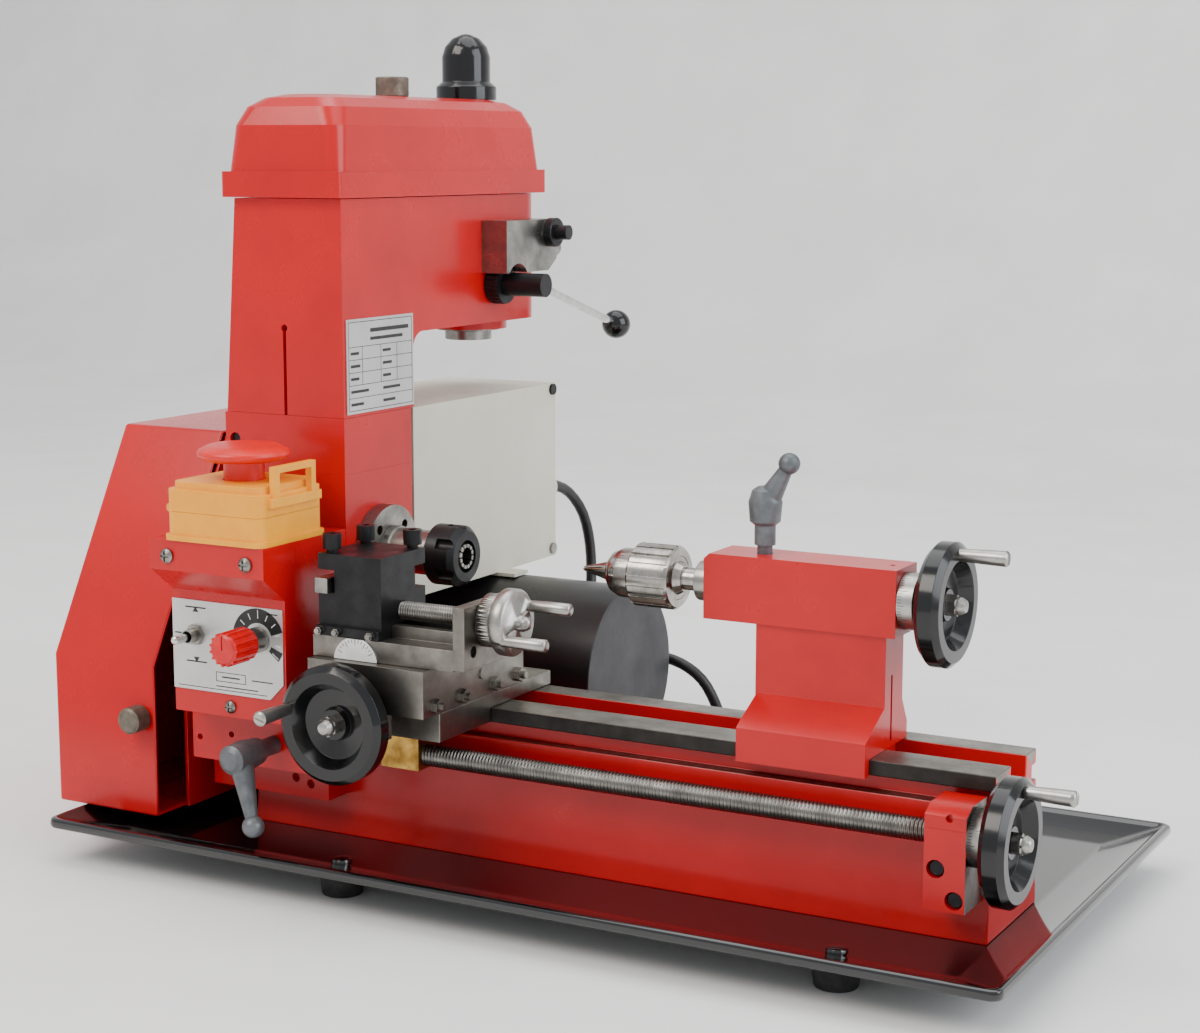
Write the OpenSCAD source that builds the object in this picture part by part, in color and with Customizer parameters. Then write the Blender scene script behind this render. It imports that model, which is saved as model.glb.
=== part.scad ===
// Small bench lathe with a drill-mill head that swings over the headstock.
// Origin: spindle axis at the front face of the collet nut. +X runs along the bed to the
// tailstock, +Y away from the operator, +Z up. All sizes are in millimetres.

/* [Bed] */
// Height of the spindle axis above the ways
centre_height = 75; // [66:1:82]
// Right end of the bed, measured from the collet nut
bed_right = 317; // [300:1:340]
// Width over the two ways
bed_w = 62; // [58:1:68]
// Height of the bed casting
bed_h = 82.5; // [74:0.5:99]
// Depth of the channel between the ways
channel_depth = 16; // [10:1:20]

/* [Tray] */
// Length of the chip tray
tray_l = 558; // [545:1:640]
// Depth of the chip tray, front to back
tray_w = 295; // [288:1:340]
// Width of the tray's sloping flange
flange_w = 26; // [16:1:28]
// Height of the rubber feet
foot_h = 15.5; // [10:0.5:24]
// Diameter of the rubber feet
foot_d = 25; // [18:1:32]

/* [Headstock] */
// Diameter of the spindle
spindle_d = 22; // [18:1:26]
// Diameter of the spindle flange
flange_d = 50; // [46:1:54]
// Outside diameter of the spindle bearings
bearing_d = 42; // [38:1:46]
// Bore of the collet
collet_bore = 10; // [3:0.5:13]

/* [Mill head] */
// Diameter of the round column that the head turns on
column_d = 50; // [42:1:54]
// Distance from the column axis to the mill spindle axis
head_reach = 160; // [156:1:168]
// Diameter of the mill quill
quill_d = 40; // [34:1:42]
// Height of the head's arm
arm_h = 76; // [66:1:88]

/* [Slides] */
// Outside diameter of the leadscrew
leadscrew_d = 12; // [10:0.5:14]
// Outside diameter of the cross-slide screw
cross_screw_d = 8; // [6:0.5:9]
// Outside diameter of the top-slide screw
top_screw_d = 10; // [8:0.5:11]
// Length of the saddle along the bed
saddle_l = 80; // [70:1:84]
// Width of the cross slide
cross_w = 72; // [64:1:76]
// Section of the square tool bit
tool_size = 8; // [6:1:9]

/* [Handwheels] */
// Diameter of the black handwheels
wheel_d = 63; // [54:1:68]
// Width of the handwheel rim
rim_w = 13; // [10:0.5:14]
// Diameter of the crank handles
crank_d = 7.5; // [6:0.5:9]
// Length of the crank handles
crank_l = 25; // [20:1:30]

/* [Tailstock] */
// Diameter of the tailstock quill
tail_quill_d = 21; // [18:0.5:22]
// Travel of the tailstock quill
tail_travel = 40; // [30:1:42]
// Diameter of the drill chuck's sleeve
chuck_d = 34; // [32:1:37]

/* [Motor] */
// Diameter of the motor
motor_d = 105; // [90:1:108]
// Length of the motor
motor_l = 148; // [130:1:150]

/* [Fits] */
// Radial clearance of a shaft in its bearing
run_fit = 0.05; // [0.02:0.01:0.1]
// Gap between flat faces that slide on each other
slide_gap = 0.15; // [0.1:0.05:0.3]
// Gap between a moving piece and what it passes
clear_gap = 0.5; // [0.4:0.1:1]

/* [Hidden] */

$fn = 64;

// Levels
way_z = -centre_height;
bed_bottom = way_z - bed_h;
sheet = 2;
tray_bottom = bed_bottom - sheet;
ground_z = tray_bottom - foot_h;

// Bed
bed_left = -120;
way_front = -bed_w / 2;
way_back = bed_w / 2;
way_t = 8;
way_lip = 6;
way_slope = 6;
channel_y = [-8, 15];

// Headstock, column and head
head_x = [-138.5, -57.5];
head_y = [-33, 33];
seam_z = 45;
block_top = 76.15;
col_x = -98;
mill_y = head_reach;
head_z = block_top + slide_gap;
arm_z = 119;
arm_top = arm_z + arm_h;
cover_t = 2.5;
cover_z = arm_top + clear_gap;

// Belt drive at the left end
guard_x = -224;
plate_x = -150;
belt_x = -186;
belt_w = 8;
motor_y = 136;
motor_z = bed_bottom + 67.5;
motor_right = 30;

// Carriage
carriage_x = -6;
saddle_front = -82;
saddle_t = 8;
saddle_top = way_z + saddle_t;
cross_top = saddle_top + 25;
cross_x = [carriage_x - 32, carriage_x - 32 + cross_w];
cross_y = [-97.5, 3];
screw_x = -11.6;
screw_z = way_z + 3.3;
pivot = [-11.5, -67];
base_top = cross_top + 11.5;
top_screw_z = -17.9;
lead_y = -47.5;
lead_z = way_z - 26;
post_x = [-37, 2.5];
post_y = [-88, -46];

// Tailstock
tail_x = [152, 257.4];
tail_y = 14.1;
quill_tip = 144;
chuck_x = [106.7, 131];

// ---- shared shapes ----

module box_at(lo, hi) {
    translate(lo) cube(hi - lo);
}

module rod_x(at, d, l) {
    translate(at) rotate([0, 90, 0]) cylinder(d = d, h = l);
}

module rod_y(at, d, l) {
    translate(at) rotate([-90, 0, 0]) cylinder(d = d, h = l);
}

module rod_z(at, d, l) {
    translate(at) cylinder(d = d, h = l);
}

// A prism along X from an outline in Y and Z
module prism_x(x0, x1, yz) {
    translate([x0, 0, 0]) rotate([90, 0, 90]) linear_extrude(x1 - x0) polygon(yz);
}

// A prism along Y from an outline in X and Z
module prism_y(y0, y1, xz) {
    translate([0, y1, 0]) rotate([90, 0, 0]) linear_extrude(y1 - y0) polygon(xz);
}

// A rounded rectangle, centred
module rounded(w, h, r) {
    square([w - 2 * r, h], center = true);
    square([w, h - 2 * r], center = true);
    for (x = [-1, 1], y = [-1, 1])
        translate([x * (w / 2 - r), y * (h / 2 - r)]) circle(r);
}

// A turned piece on +X: outline points are [distance along X, radius]
module turned_x(at, outline) {
    translate(at) rotate([0, 90, 0]) rotate_extrude() polygon([for (p = outline) [p[1], p[0]]]);
}

module turned_y(at, outline) {
    translate(at) rotate([-90, 0, 0]) rotate_extrude() polygon([for (p = outline) [p[1], p[0]]]);
}

module turned_z(at, outline) {
    translate(at) rotate_extrude() polygon([for (p = outline) [p[1], p[0]]]);
}

// A socket-head cap screw pointing along -Z, head from z = 0 up
module cap_head(at, d, h) {
    translate(at) difference() {
        cylinder(d = d, h = h);
        translate([0, 0, h - d * 0.3]) cylinder(d = d * 0.5, h = d, $fn = 6);
    }
}

// ---- tray and bed ----

tray_right = bed_right + 33;
tray_mid = [tray_right - tray_l / 2, 32.5];
rim_h = 8.5;
lip_w = 5;

module tray_layer(inset, z, h) {
    translate([tray_mid.x, tray_mid.y, z])
        linear_extrude(h) square([tray_l - 2 * inset, tray_w - 2 * inset], center = true);
}

foot_x = [-32, 256];
foot_y = [-78, 138];
tray_bolt_d = 9;

module chip_tray() color("black") {
    difference() {
        hull() {
            tray_layer(0, bed_bottom + rim_h - sheet, sheet);
            tray_layer(flange_w, tray_bottom, sheet);
        }
        hull() {
            tray_layer(lip_w, bed_bottom + rim_h + 0.01, sheet);
            tray_layer(lip_w, bed_bottom + rim_h - sheet / 2, sheet);
            tray_layer(flange_w + lip_w, bed_bottom, sheet);
        }
        for (x = foot_x, y = foot_y)
            rod_z([x, y, tray_bottom - 1], tray_bolt_d, sheet + 2);
    }
}

module rubber_feet() color("#222222")
    for (x = foot_x, y = foot_y)
        turned_z([x, y, ground_z], [
            [0, 0], [0, foot_d / 2 - 1.5], [foot_h - 3, foot_d / 2],
            [foot_h, foot_d / 2], [foot_h, 0]
        ]);

function bed_front(z) = way_front - way_slope * (way_z - z) / bed_h;

module bed_outline() {
    ledge = way_z - way_t;
    foot = way_z - 2 * way_t;
    polygon([
        [bed_front(bed_bottom), bed_bottom], [bed_front(foot), foot],
        [way_front + way_lip, foot], [way_front + way_lip, ledge],
        [way_front, ledge], [way_front, way_z],
        [channel_y[0], way_z], [channel_y[0], way_z - channel_depth],
        [channel_y[1], way_z - channel_depth], [channel_y[1], way_z],
        [way_back, way_z], [way_back, ledge],
        [way_back - way_lip, ledge], [way_back - way_lip, foot],
        [-bed_front(foot), foot], [-bed_front(bed_bottom), bed_bottom]
    ]);
}

bed_wall = 9;
rib_step = 90;

module bed() color("firebrick") difference() {
    translate([bed_left, 0, 0]) rotate([90, 0, 90])
        linear_extrude(bed_right - bed_left) bed_outline();
    for (x = [bed_left + bed_wall : rib_step : bed_right - rib_step / 2])
        box_at([x, way_front + bed_wall, bed_bottom - 1],
            [min(x + rib_step - bed_wall, bed_right - bed_wall), way_back - bed_wall,
                way_z - channel_depth - bed_wall]);
}

// ---- headstock ----

bearing_w = 12;
bearing_x = [-134, -76];
housing_bore = 46;
post_bottom = 24;

module headstock() color("firebrick") {
    difference() {
        union() {
            box_at([head_x[0], head_y[0], way_z], [head_x[1], head_y[1], seam_z]);
            box_at([head_x[0], -42, way_z], [head_x[1], head_y[0], -2]);
            for (x = [-125, -70], z = [-20, 60 - 20])
                rod_y([x, head_y[1], z], 12, 3);
        }
        rod_x([head_x[0] - 1, 0, 0], spindle_d + 2, head_x[1] - head_x[0] + 2);
        rod_x([bearing_x[0], 0, 0], bearing_d, bearing_x[1] + bearing_w - bearing_x[0]);
        rod_x([bearing_x[0] + bearing_w, 0, 0], housing_bore, bearing_x[1] - bearing_x[0] - bearing_w);
        rod_z([col_x, 0, 0], housing_bore - 4, post_bottom);
        rod_z([col_x, 0, post_bottom], column_d, seam_z);
    }
    difference() {
        box_at([head_x[0], head_y[0], seam_z + 0.05], [head_x[1], head_y[1], block_top]);
        rod_z([col_x, 0, seam_z - 1], column_d, block_top);
        rod_y([-132, head_y[0] - 1, 61], 7, 9);
    }
}

module feed_block() color("firebrick") difference() {
    union() {
        box_at([-138, -70, way_z - 40], [-58, -20, way_z - 8]);
        box_at([-137, -53, way_z - 59], [-58, -20, way_z - 40]);
    }
    translate([-200, 0, 0]) rotate([90, 0, 90]) linear_extrude(200) offset_bed();
    rod_x([-139, lead_y, lead_z], lead_journal + 2 * run_fit, 90);
    for (p = [[-133, -28], [-111, -24]])
        rod_y([p[0], -71, way_z + p[1]], 3.4, 5);
    for (p = [[-80, -48.5], [-70, -51]])
        rod_y([p[0], -54, way_z + p[1]], 5, 5);
    rod_y([clamp_x, -71, lead_z], clamp_stud_d + 2 * run_fit, clamp_depth + 1);
}

// Everything behind the bed's front face and under the headstock
module offset_bed() polygon([
    [bed_front(bed_bottom), bed_bottom], [bed_front(way_z), way_z],
    [-42.05, way_z], [-42.05, 0], [40, 0], [40, bed_bottom]
]);

lead_journal = 9;
clamp_x = -81.7;
clamp_stud_d = 8;
clamp_depth = 12;

module column_post() color("silver") difference() {
    rod_z([col_x, 0, post_bottom], column_d, arm_top - 6.5 - post_bottom);
    rod_z([col_x, 0, post_bottom - 1], shaft_seat, arm_top);
}

shaft_d = 12;
shaft_seat = 26;

module ring_x(x, od, id, w) turned_x([x, 0, 0], [[0, id / 2], [0, od / 2], [w, od / 2], [w, id / 2]]);
module ring_z(z, od, id, h) turned_z([col_x, 0, z], [[0, id / 2], [0, od / 2], [h, od / 2], [h, id / 2]]);

module bearings() color("silver") {
    for (x = bearing_x)
        ring_x(x, bearing_d, spindle_d + 2 * run_fit, bearing_w);
    for (z = [post_bottom + 1, arm_top - 16])
        ring_z(z, shaft_seat, shaft_d + 2 * run_fit, 8);
}

// ---- covers at the left end ----

guard_bottom = bed_bottom + rim_h + clear_gap;

function guard_outline(inset) = [
    [-85 + inset, guard_bottom + inset], [190 - inset, guard_bottom + inset],
    [190 - inset, 62.5 - inset], [-18 + 0.6 * inset, 62.5 - inset],
    [-85 + inset, -62 - 0.6 * inset]
];
plate_t = 2.5;

module belt_guard() color("firebrick") difference() {
    prism_x(guard_x, plate_x - plate_t - 0.1, guard_outline(0));
    prism_x(guard_x + sheet, plate_x, guard_outline(sheet));
}

module back_plate() color("firebrick") {
    difference() {
        prism_x(plate_x - plate_t, plate_x, concat(
            [[-60, guard_bottom]], [[188, guard_bottom], [188, 60], [-16, 60], [-60, -22]]));
        rod_x([plate_x - 9, 0, 0], spindle_d + 6, 20);
        rod_x([plate_x - 9, motor_y, motor_z], 30, 20);
    }
    for (p = [[-25, -60], [25, -60], [-25, 30]])
        rod_x([plate_x, p[0], p[1]], 12, head_x[0] - plate_x);
}

// ---- controls ----

box_x = [-133, -57.6];
box_top = 15.6;

function box_profile(i) = [
    [-42.1, -83 + i], [-90 + i, -83 + i], [-90 + i, -15 - 0.3 * i],
    [-108 + i, -1 + 0.3 * i], [-108 + i, box_top - i], [-42.1, box_top - i]
];

toggle_at = [-117, -39];
speed_at = [-75, -37.5];

module control_box() color("firebrick") difference() {
    union() {
        prism_x(box_x[0], box_x[1], box_profile(0));
        box_at([box_x[0], -42.2, 0], [box_x[1], head_y[0] - 0.05, box_top]);
    }
    prism_x(box_x[0] + sheet, box_x[1] - sheet, concat([[-41, -83 + sheet]],
        [for (i = [1:4]) box_profile(sheet)[i]], [[-41, box_top - sheet]]));
    box_at([box_x[0] + sheet, -43, 2], [box_x[1] - sheet, head_y[0] + 1, box_top - sheet]);
    rod_y([toggle_at.x, -91, toggle_at.y], 8, 4);
    rod_y([speed_at.x, -91, speed_at.y], 8, 4);
    for (p = box_screws)
        rod_y([p[0], p[1] - 1, p[2]], p[3] * 0.5 + 0.1, sheet + 2);
}

panel_y = -90.8;
box_screws = [[-121, -108, 6.8, 8], [-69, -108, 6.3, 8], [-95, -90, -77, 7]];

module control_panel() color("silver") difference() {
    prism_y(panel_y, -90, [
        [-133, -20], [-133, -70], [-68, -70], [-59, -61], [-59, -20]
    ]);
    rod_y([toggle_at.x, -92, toggle_at.y], 8, 4);
    rod_y([speed_at.x, -92, speed_at.y], 8, 4);
}

// Pan-head screw with its head towards -Y
module pan_screw(x, y, z, d, l) {
    difference() {
        union() {
            turned_y([x, y, z], [[-d * 0.35, 0], [-d * 0.35, d * 0.3], [-d * 0.15, d / 2], [0, d / 2], [0, 0]]);
            rod_y([x, y, z], d * 0.5, l);
        }
        box_at([x - d * 0.35, y - d, z - d * 0.07], [x + d * 0.35, y - d * 0.2, z + d * 0.07]);
        box_at([x - d * 0.07, y - d, z - d * 0.35], [x + d * 0.07, y - d * 0.2, z + d * 0.35]);
    }
}

module frame_screws() color("silver") {
    for (p = box_screws)
        pan_screw(p[0], p[1], p[2], p[3], 6);
    // Threaded bush and nut of the toggle switch
    difference() {
        union() {
            rod_y([toggle_at.x, panel_y - 8, toggle_at.y], 7.6, 8);
            translate([toggle_at.x, panel_y - 2.5, toggle_at.y]) rotate([-90, 0, 0])
                cylinder(d = 12, h = 2.45, $fn = 6);
        }
        turned_y([toggle_at.x, panel_y - 8.1, toggle_at.y], [[0, 0], [0, 3.2], [6, 2.6], [6, 0]]);
    }
    // Thumb screw that holds the belt guard
    turned_y([-162, -97, -92], [[0, 0], [0, 6], [1, 7.3], [11, 7.3], [12, 6], [12, 0]]);
    // Screws of the electronics box
    for (z = [72, -30])
        rod_x([ebox_x[1], 195, z], 7, 1.6);
    // Cap screws of the leadscrew bracket and its mate under the head seam
    for (p = bracket_screws)
        rod_y([p[0], bracket_y + 2, p[1]], 7, 5);
    rod_y([-132, head_y[0] + 2, 61], 6.4, 6);
}

module toggle_lever() color("silver") {
    turned_y([toggle_at.x, panel_y - 19.5, toggle_at.y], [
        [0, 0], [0, 1.2], [1, 2.3], [6, 2.6], [16, 1.4], [16, 0]
    ]);
    // Trunnion that it rocks on inside the bush
    rod_x([toggle_at.x - 1.5, panel_y - 4.2, toggle_at.y], 3.4, 3);
}

module speed_knob() color("red") {
    difference() {
        union() {
            turned_y([speed_at.x, -122, speed_at.y], [
                [0, 0], [0, 7], [1.5, 8.5], [20, 8.8], [20, 0]
            ]);
            for (a = [0 : 24 : 359])
                translate([speed_at.x, -121, speed_at.y]) rotate([-90, 0, 0]) rotate(a)
                    translate([8.5, 0, 0]) cylinder(d = 1.6, h = 18.4);
        }
        box_at([speed_at.x - 0.6, -123, speed_at.y], [speed_at.x + 0.6, -121.4, speed_at.y + 8]);
    }
    rod_y([speed_at.x, -102.5, speed_at.y], 14, panel_y + 102.5 - clear_gap);
    rod_y([speed_at.x, panel_y - clear_gap - 1, speed_at.y], 6, 8);
}

// ---- emergency stop switch ----

stop_x = [-122, -59];
stop_y = [-108, -51];
stop_mid = [-90.5, -79.5];
stop_z = [box_top, 31, 47];
hinge_x = -125;
hinge_z = 31.5;
pin_d = 3;

module stop_plate(z, h, grow) {
    translate([stop_mid.x, stop_mid.y, z]) linear_extrude(h)
        rounded(stop_x[1] - stop_x[0] + grow, stop_y[1] - stop_y[0] + grow, 6);
}

module stop_switch_base() color("orange") {
    difference() {
        union() {
            stop_plate(stop_z[0], stop_z[1] - stop_z[0], 0);
            stop_plate(stop_z[0], 3, 3);
            for (y = [-100, -66])
                rod_y([hinge_x, y, hinge_z], 5, 7);
            for (y = [-100, -66])
                box_at([hinge_x, y, 24], [stop_x[0] + 2, y + 7, stop_z[1]]);
        }
        translate([0, 0, 1]) stop_plate(stop_z[0] + 2, 20, -6);
        rod_y([hinge_x, -120, hinge_z], pin_d + 2 * run_fit, 80);
    }
    // Switch block inside
    box_at([-112, -100, stop_z[0] + 3], [-69, -59, 27]);
}

module stop_switch_lid() color("gold") {
    difference() {
        union() {
            stop_plate(stop_z[1] + 0.1, stop_z[2] - stop_z[1] - 4, 0);
            stop_plate(stop_z[2] - 4, 4, -5);
            rod_y([hinge_x, -92.6, hinge_z], 5, 26.2);
            box_at([hinge_x, -92.6, hinge_z], [stop_x[0] + 2, -66.4, 35]);
            // Latch bar along the right-hand side, with a loop standing up
            box_at([stop_x[1] - 1, -101, 36], [stop_x[1] + 3, -57, 41]);
            for (y = [-98, -66])
                box_at([stop_x[1] - 1, y, 41], [stop_x[1] + 3, y + 4, 54]);
            box_at([stop_x[1] - 1, -98, 54], [stop_x[1] + 3, -62, 57.5]);
        }
        translate([0, 0, -0.1]) stop_plate(stop_z[1], stop_z[2] - stop_z[1] - 3, -6);
        rod_z([stop_mid.x, stop_mid.y, 30], stop_stem_d + 2 * clear_gap, 40);
    }
    rod_y([hinge_x, -101, hinge_z], pin_d, 43);
}

stop_stem_d = 22;
stop_cap_d = 50;

module stop_button() color("red") {
    turned_z([stop_mid.x, stop_mid.y, 57.5], [
        [0, 0], [0, stop_cap_d / 2 - 4], [2, stop_cap_d / 2], [5, stop_cap_d / 2],
        [8, stop_cap_d / 2 - 6], [8.5, 0]
    ]);
    rod_z([stop_mid.x, stop_mid.y, 38], stop_stem_d, 20);
}

// ---- electronics box and motor ----

ebox_x = [-138, -58];
ebox_y = [36, 199.5];
ebox_z = [-35, 75.8];
gland_at = [-70, ebox_y[1], 8];
cord_d = 7;

module electronics_box() color("ivory") {
    difference() {
        box_at([ebox_x[0], ebox_y[0], ebox_z[0]], [ebox_x[1], ebox_y[1], ebox_z[1]]);
        box_at([ebox_x[0] + sheet, ebox_y[0] + sheet, ebox_z[0] + sheet],
            [ebox_x[1] - sheet, ebox_y[1] - sheet, ebox_z[1] - sheet]);
        rod_y([gland_at.x, ebox_y[1] - 3, gland_at.z], 14, 5);
    }
    // Cord gland
    turned_y([gland_at.x, ebox_y[1] - sheet, gland_at.z], [
        [0, cord_d / 2], [0, 7], [2.1, 7], [2.1, 10], [8, 10], [13, 6], [13, cord_d / 2]
    ]);
    // Tab that ties the box to the motor
    box_at([ebox_x[1] - 20, motor_y - 8, motor_z + motor_d / 2 + 0.4],
        [ebox_x[1] + 12, motor_y + 8, ebox_z[0]]);
}

motor_left = motor_right - motor_l;
rotor_d = 14;
end_t = 6;

module motor() color("#1c1c1e") {
    difference() {
        rod_x([motor_left, motor_y, motor_z], motor_d, motor_l);
        rod_x([motor_left + end_t, motor_y, motor_z], motor_d - 8, motor_l - 2 * end_t);
        rod_x([motor_left - 1, motor_y, motor_z], rotor_d + 2 * run_fit, end_t + 2);
    }
    // Cradle that carries the motor on the tray
    difference() {
        for (x = [motor_left + 15, motor_right - 19])
            box_at([x, 100, bed_bottom], [x + 4, 144, motor_z - 20]);
        rod_x([motor_left - 1, motor_y, motor_z], motor_d, motor_l + 2);
    }
    // Flange that ties the motor to the back plate
    for (s = [-1, 1])
        rod_x([plate_x, motor_y + s * 40, motor_z], 10, motor_left - plate_x);
}

pulley_r = [30, 18];

module groove_pulley(at, r, bore, w) turned_x(at, [
    [0, bore / 2], [0, r + 2], [1.5, r + 2], [1.5, r - 1], [w - 1.5, r - 1], [w - 1.5, r + 2],
    [w, r + 2], [w, bore / 2]
]);

module motor_rotor() color("silver") {
    rod_x([belt_x - 6, motor_y, motor_z], rotor_d, motor_left + 40 - belt_x);
    groove_pulley([belt_x - belt_w / 2 - 2, motor_y, motor_z], pulley_r[1], rotor_d - 0.1, belt_w + 4);
    rod_x([motor_left + 14, motor_y, motor_z], motor_d * 0.6, motor_l - 34);
}

module belt_loop(w, r0, r1, p0, p1) {
    hull() {
        translate(p0) circle(r0 + w);
        translate(p1) circle(r1 + w);
    }
}

module drive_belt() color("#202020")
    translate([belt_x - belt_w / 2, 0, 0]) rotate([90, 0, 90]) linear_extrude(belt_w) difference() {
        belt_loop(1.6, pulley_r[0], pulley_r[1], [0, 0], [motor_y, motor_z]);
        belt_loop(-0.6, pulley_r[0], pulley_r[1], [0, 0], [motor_y, motor_z]);
    }

// ---- spindle and collet ----

gear_in = 13;
gear_out = 19.6;
gear_gap = 0.5;

// Bevel gear blank with straight tooth gaps, small end at z = gear_in
module bevel_gear(bore) difference() {
    rotate_extrude() polygon([
        [bore / 2, gear_in], [gear_in - gear_gap, gear_in],
        [gear_out - gear_gap, gear_out], [gear_out - gear_gap - 3, gear_out + 2], [bore / 2, gear_out + 2]
    ]);
    for (a = [0 : 20 : 359])
        rotate(a) translate([gear_in - 1.2, -0.9, gear_in - 2]) rotate([0, 45, 0])
            translate([-9, 0, -1]) cube([9, 1.8, 14]);
}

spindle_bore = 12;
flange_pcd = 35;
flange_hole = 5.5;

module spindle() color("silver") {
    difference() {
        union() {
            rod_x([belt_x - 10, 0, 0], spindle_d, -57.5 - belt_x + 10);
            rod_x([-57.4, 0, 0], flange_d, 8.4);
            rod_x([-62, 0, 0], spindle_d + 1.6, 5);
            groove_pulley([belt_x - belt_w / 2 - 2, 0, 0], pulley_r[0], spindle_d - 0.1, belt_w + 4);
            translate([col_x, 0, 0]) rotate([0, 90, 0]) bevel_gear(spindle_d - 0.1);
        }
        rod_x([belt_x - 20, 0, 0], spindle_bore, 200);
        for (a = [45 : 90 : 315])
            rod_x([-58, flange_pcd / 2 * cos(a), flange_pcd / 2 * sin(a)], flange_hole, 12);
    }
}

nut_d = 34;
nut_l = 18;
chuck_body_d = 25;

module collet_chuck() color("silver") {
    difference() {
        union() {
            rod_x([-48.9, 0, 0], chuck_body_d, 30.9);
            rod_x([-18, 0, 0], 22, 12);
            rod_x([-48.9, 0, 0], 27, 5);
        }
        turned_x([-50, 0, 0], [[0, 0], [0, 6], [23.5, 6], [23.5, 7.35], [45, 8.95], [45, 0]]);
    }
}

module collet() color("silver") difference() {
    turned_x([-26, 0, 0], [
        [0, 0], [0, 7.1], [20.6, 8.7], [22.4, 8], [23.4, 8], [26, 6.8], [26, 0]
    ]);
    rod_x([-28, 0, 0], collet_bore, 40);
    for (a = [0 : 30 : 150])
        translate([-12, 0, 0]) rotate([a, 0, 0]) translate([0, -0.4, -12]) cube([16, 0.8, 24]);
}

module collet_nut() color("#1b1b1d") difference() {
    turned_x([-nut_l, 0, 0], [
        [0, 11.05], [0, nut_d / 2], [nut_l - 3, nut_d / 2], [nut_l, nut_d / 2 - 3],
        [nut_l, 9], [nut_l - 4, 9], [nut_l - 5, 11.05]
    ]);
    for (a = [0 : 60 : 359])
        rotate([a, 0, 0]) translate([-11, 0, nut_d / 2 + 1.2]) rotate([0, 90, 0]) cylinder(d = 7, h = 20);
}

module drive_shaft() color("silver") {
    rod_z([col_x, 0, gear_in], shaft_d, cover_z + 34 - gear_in);
    translate([col_x, 0, 0]) bevel_gear(shaft_d - 0.1);
    step_pulley(0, shaft_d - 0.1, [12, 15, 18]);
}

// Three-step pulley on a vertical shaft
step_h = 9;
groove = 3;
belt_step_r = 15;

module step_pulley(y, bore, r)
    for (i = [0:2])
        turned_z([col_x, y, cover_z + 4 + i * step_h], [
            [0, bore / 2], [0, r[i]], [1.5, r[i]], [1.5, r[i] - groove], [step_h - 1.5, r[i] - groove],
            [step_h - 1.5, r[i]], [step_h, r[i]], [step_h, bore / 2]
        ]);

// ---- mill head ----

head_left = [-137, -128.6];
arm_back = 184;
arm_round = 20;
hub_x = -57.4;
pinion_at = [124.3, arm_z + 23];
rack_y = mill_y - quill_d / 2 + 1.5;
pinion_r = rack_y - pinion_at[0];
rack_teeth = 18;
rack_pitch = 2 * PI * pinion_r / rack_teeth;
tooth_h = 1.2;
pinion_x = hub_x - 26.5;
pinion_w = 13;
hub_d = 14;
side_step = 0.2;

module head_casting() color("firebrick") difference() {
    union() {
        prism_y(head_y[0], 36, [
            [head_left[0], head_z], [head_x[1], head_z], [head_x[1], arm_top], [head_left[1], arm_top]
        ]);
        intersection() {
            prism_y(35.9, arm_back, [
                [head_left[0] + 4, arm_z], [head_x[1], arm_z], [head_x[1], arm_top], [head_left[1], arm_top]
            ]);
            translate([(head_left[0] + head_x[1]) / 2, arm_back / 2, arm_z - 1]) linear_extrude(arm_h + 2)
                rounded(head_x[1] - head_left[0], arm_back, arm_round);
        }
        // Blend under the arm
        difference() {
            box_at([head_left[0] + 4, 35.9, arm_z - 10], [head_x[1], 46, arm_z + 0.1]);
            rod_x([-140, 46, arm_z - 10], 20, 90);
        }
        rod_z([col_x, mill_y, arm_z - 7], quill_d + 8, 8);
    }
    rod_z([col_x, 0, head_z - 1], column_d + 2 * run_fit, arm_top - 6 - head_z + 1);
    rod_z([col_x, 0, head_z], shaft_seat + 4, arm_top);
    rod_z([col_x, mill_y, arm_z - 8], quill_d + 2 * run_fit, arm_h + 9);
    // Pocket and bore of the feed pinion
    rod_x([pinion_x - clear_gap, pinion_at[0], pinion_at[1]], 2 * (pinion_r + tooth_h + clear_gap),
        pinion_w + 2 * clear_gap);
    rod_x([hub_x - 40, pinion_at[0], pinion_at[1]], hub_d + 2 * run_fit, 60);
    // Clamp slit and its screw
    box_at([col_x + 0.5, head_y[0] - 1, head_z - 1], [col_x + 2.5, 0, head_z + 48]);
    rod_y([col_x + 1.5, head_y[0] - 1, head_z + 48], 4, 34);
}

cover_x = [-134.5, -55];
cover_y = [-38, 184];

module cover_layer(z, h, inset, r) {
    w = cover_x[1] - cover_x[0] - 2 * inset;
    l = cover_y[1] - cover_y[0] - 2 * inset;
    translate([(cover_x[0] + cover_x[1]) / 2, (cover_y[0] + cover_y[1]) / 2, z])
        linear_extrude(h) rounded(w, l, r);
}

module head_cover() color("firebrick") difference() {
    union() {
        cover_layer(cover_z, 14, 0, 3);
        hull() {
            cover_layer(cover_z + 13, 1, 2, 8);
            cover_layer(cover_z + 38, 1, 4, 10);
            cover_layer(cover_z + 48, 1, 8, 12);
            cover_layer(cover_z + 53, 1, 15, 12);
            cover_layer(cover_z + 55.5, 0.5, 24, 10);
        }
    }
    hull() {
        cover_layer(cover_z - 1, 15, 5, 6);
        cover_layer(cover_z + 38, 1, 8, 8);
        cover_layer(cover_z + 50, 1, 17, 10);
    }
    for (y = [78.5, mill_y])
        rod_z([col_x, y, cover_z + 40], 9, 20);
}

cover_top = cover_z + 56;
stud_d = 8;

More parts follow.
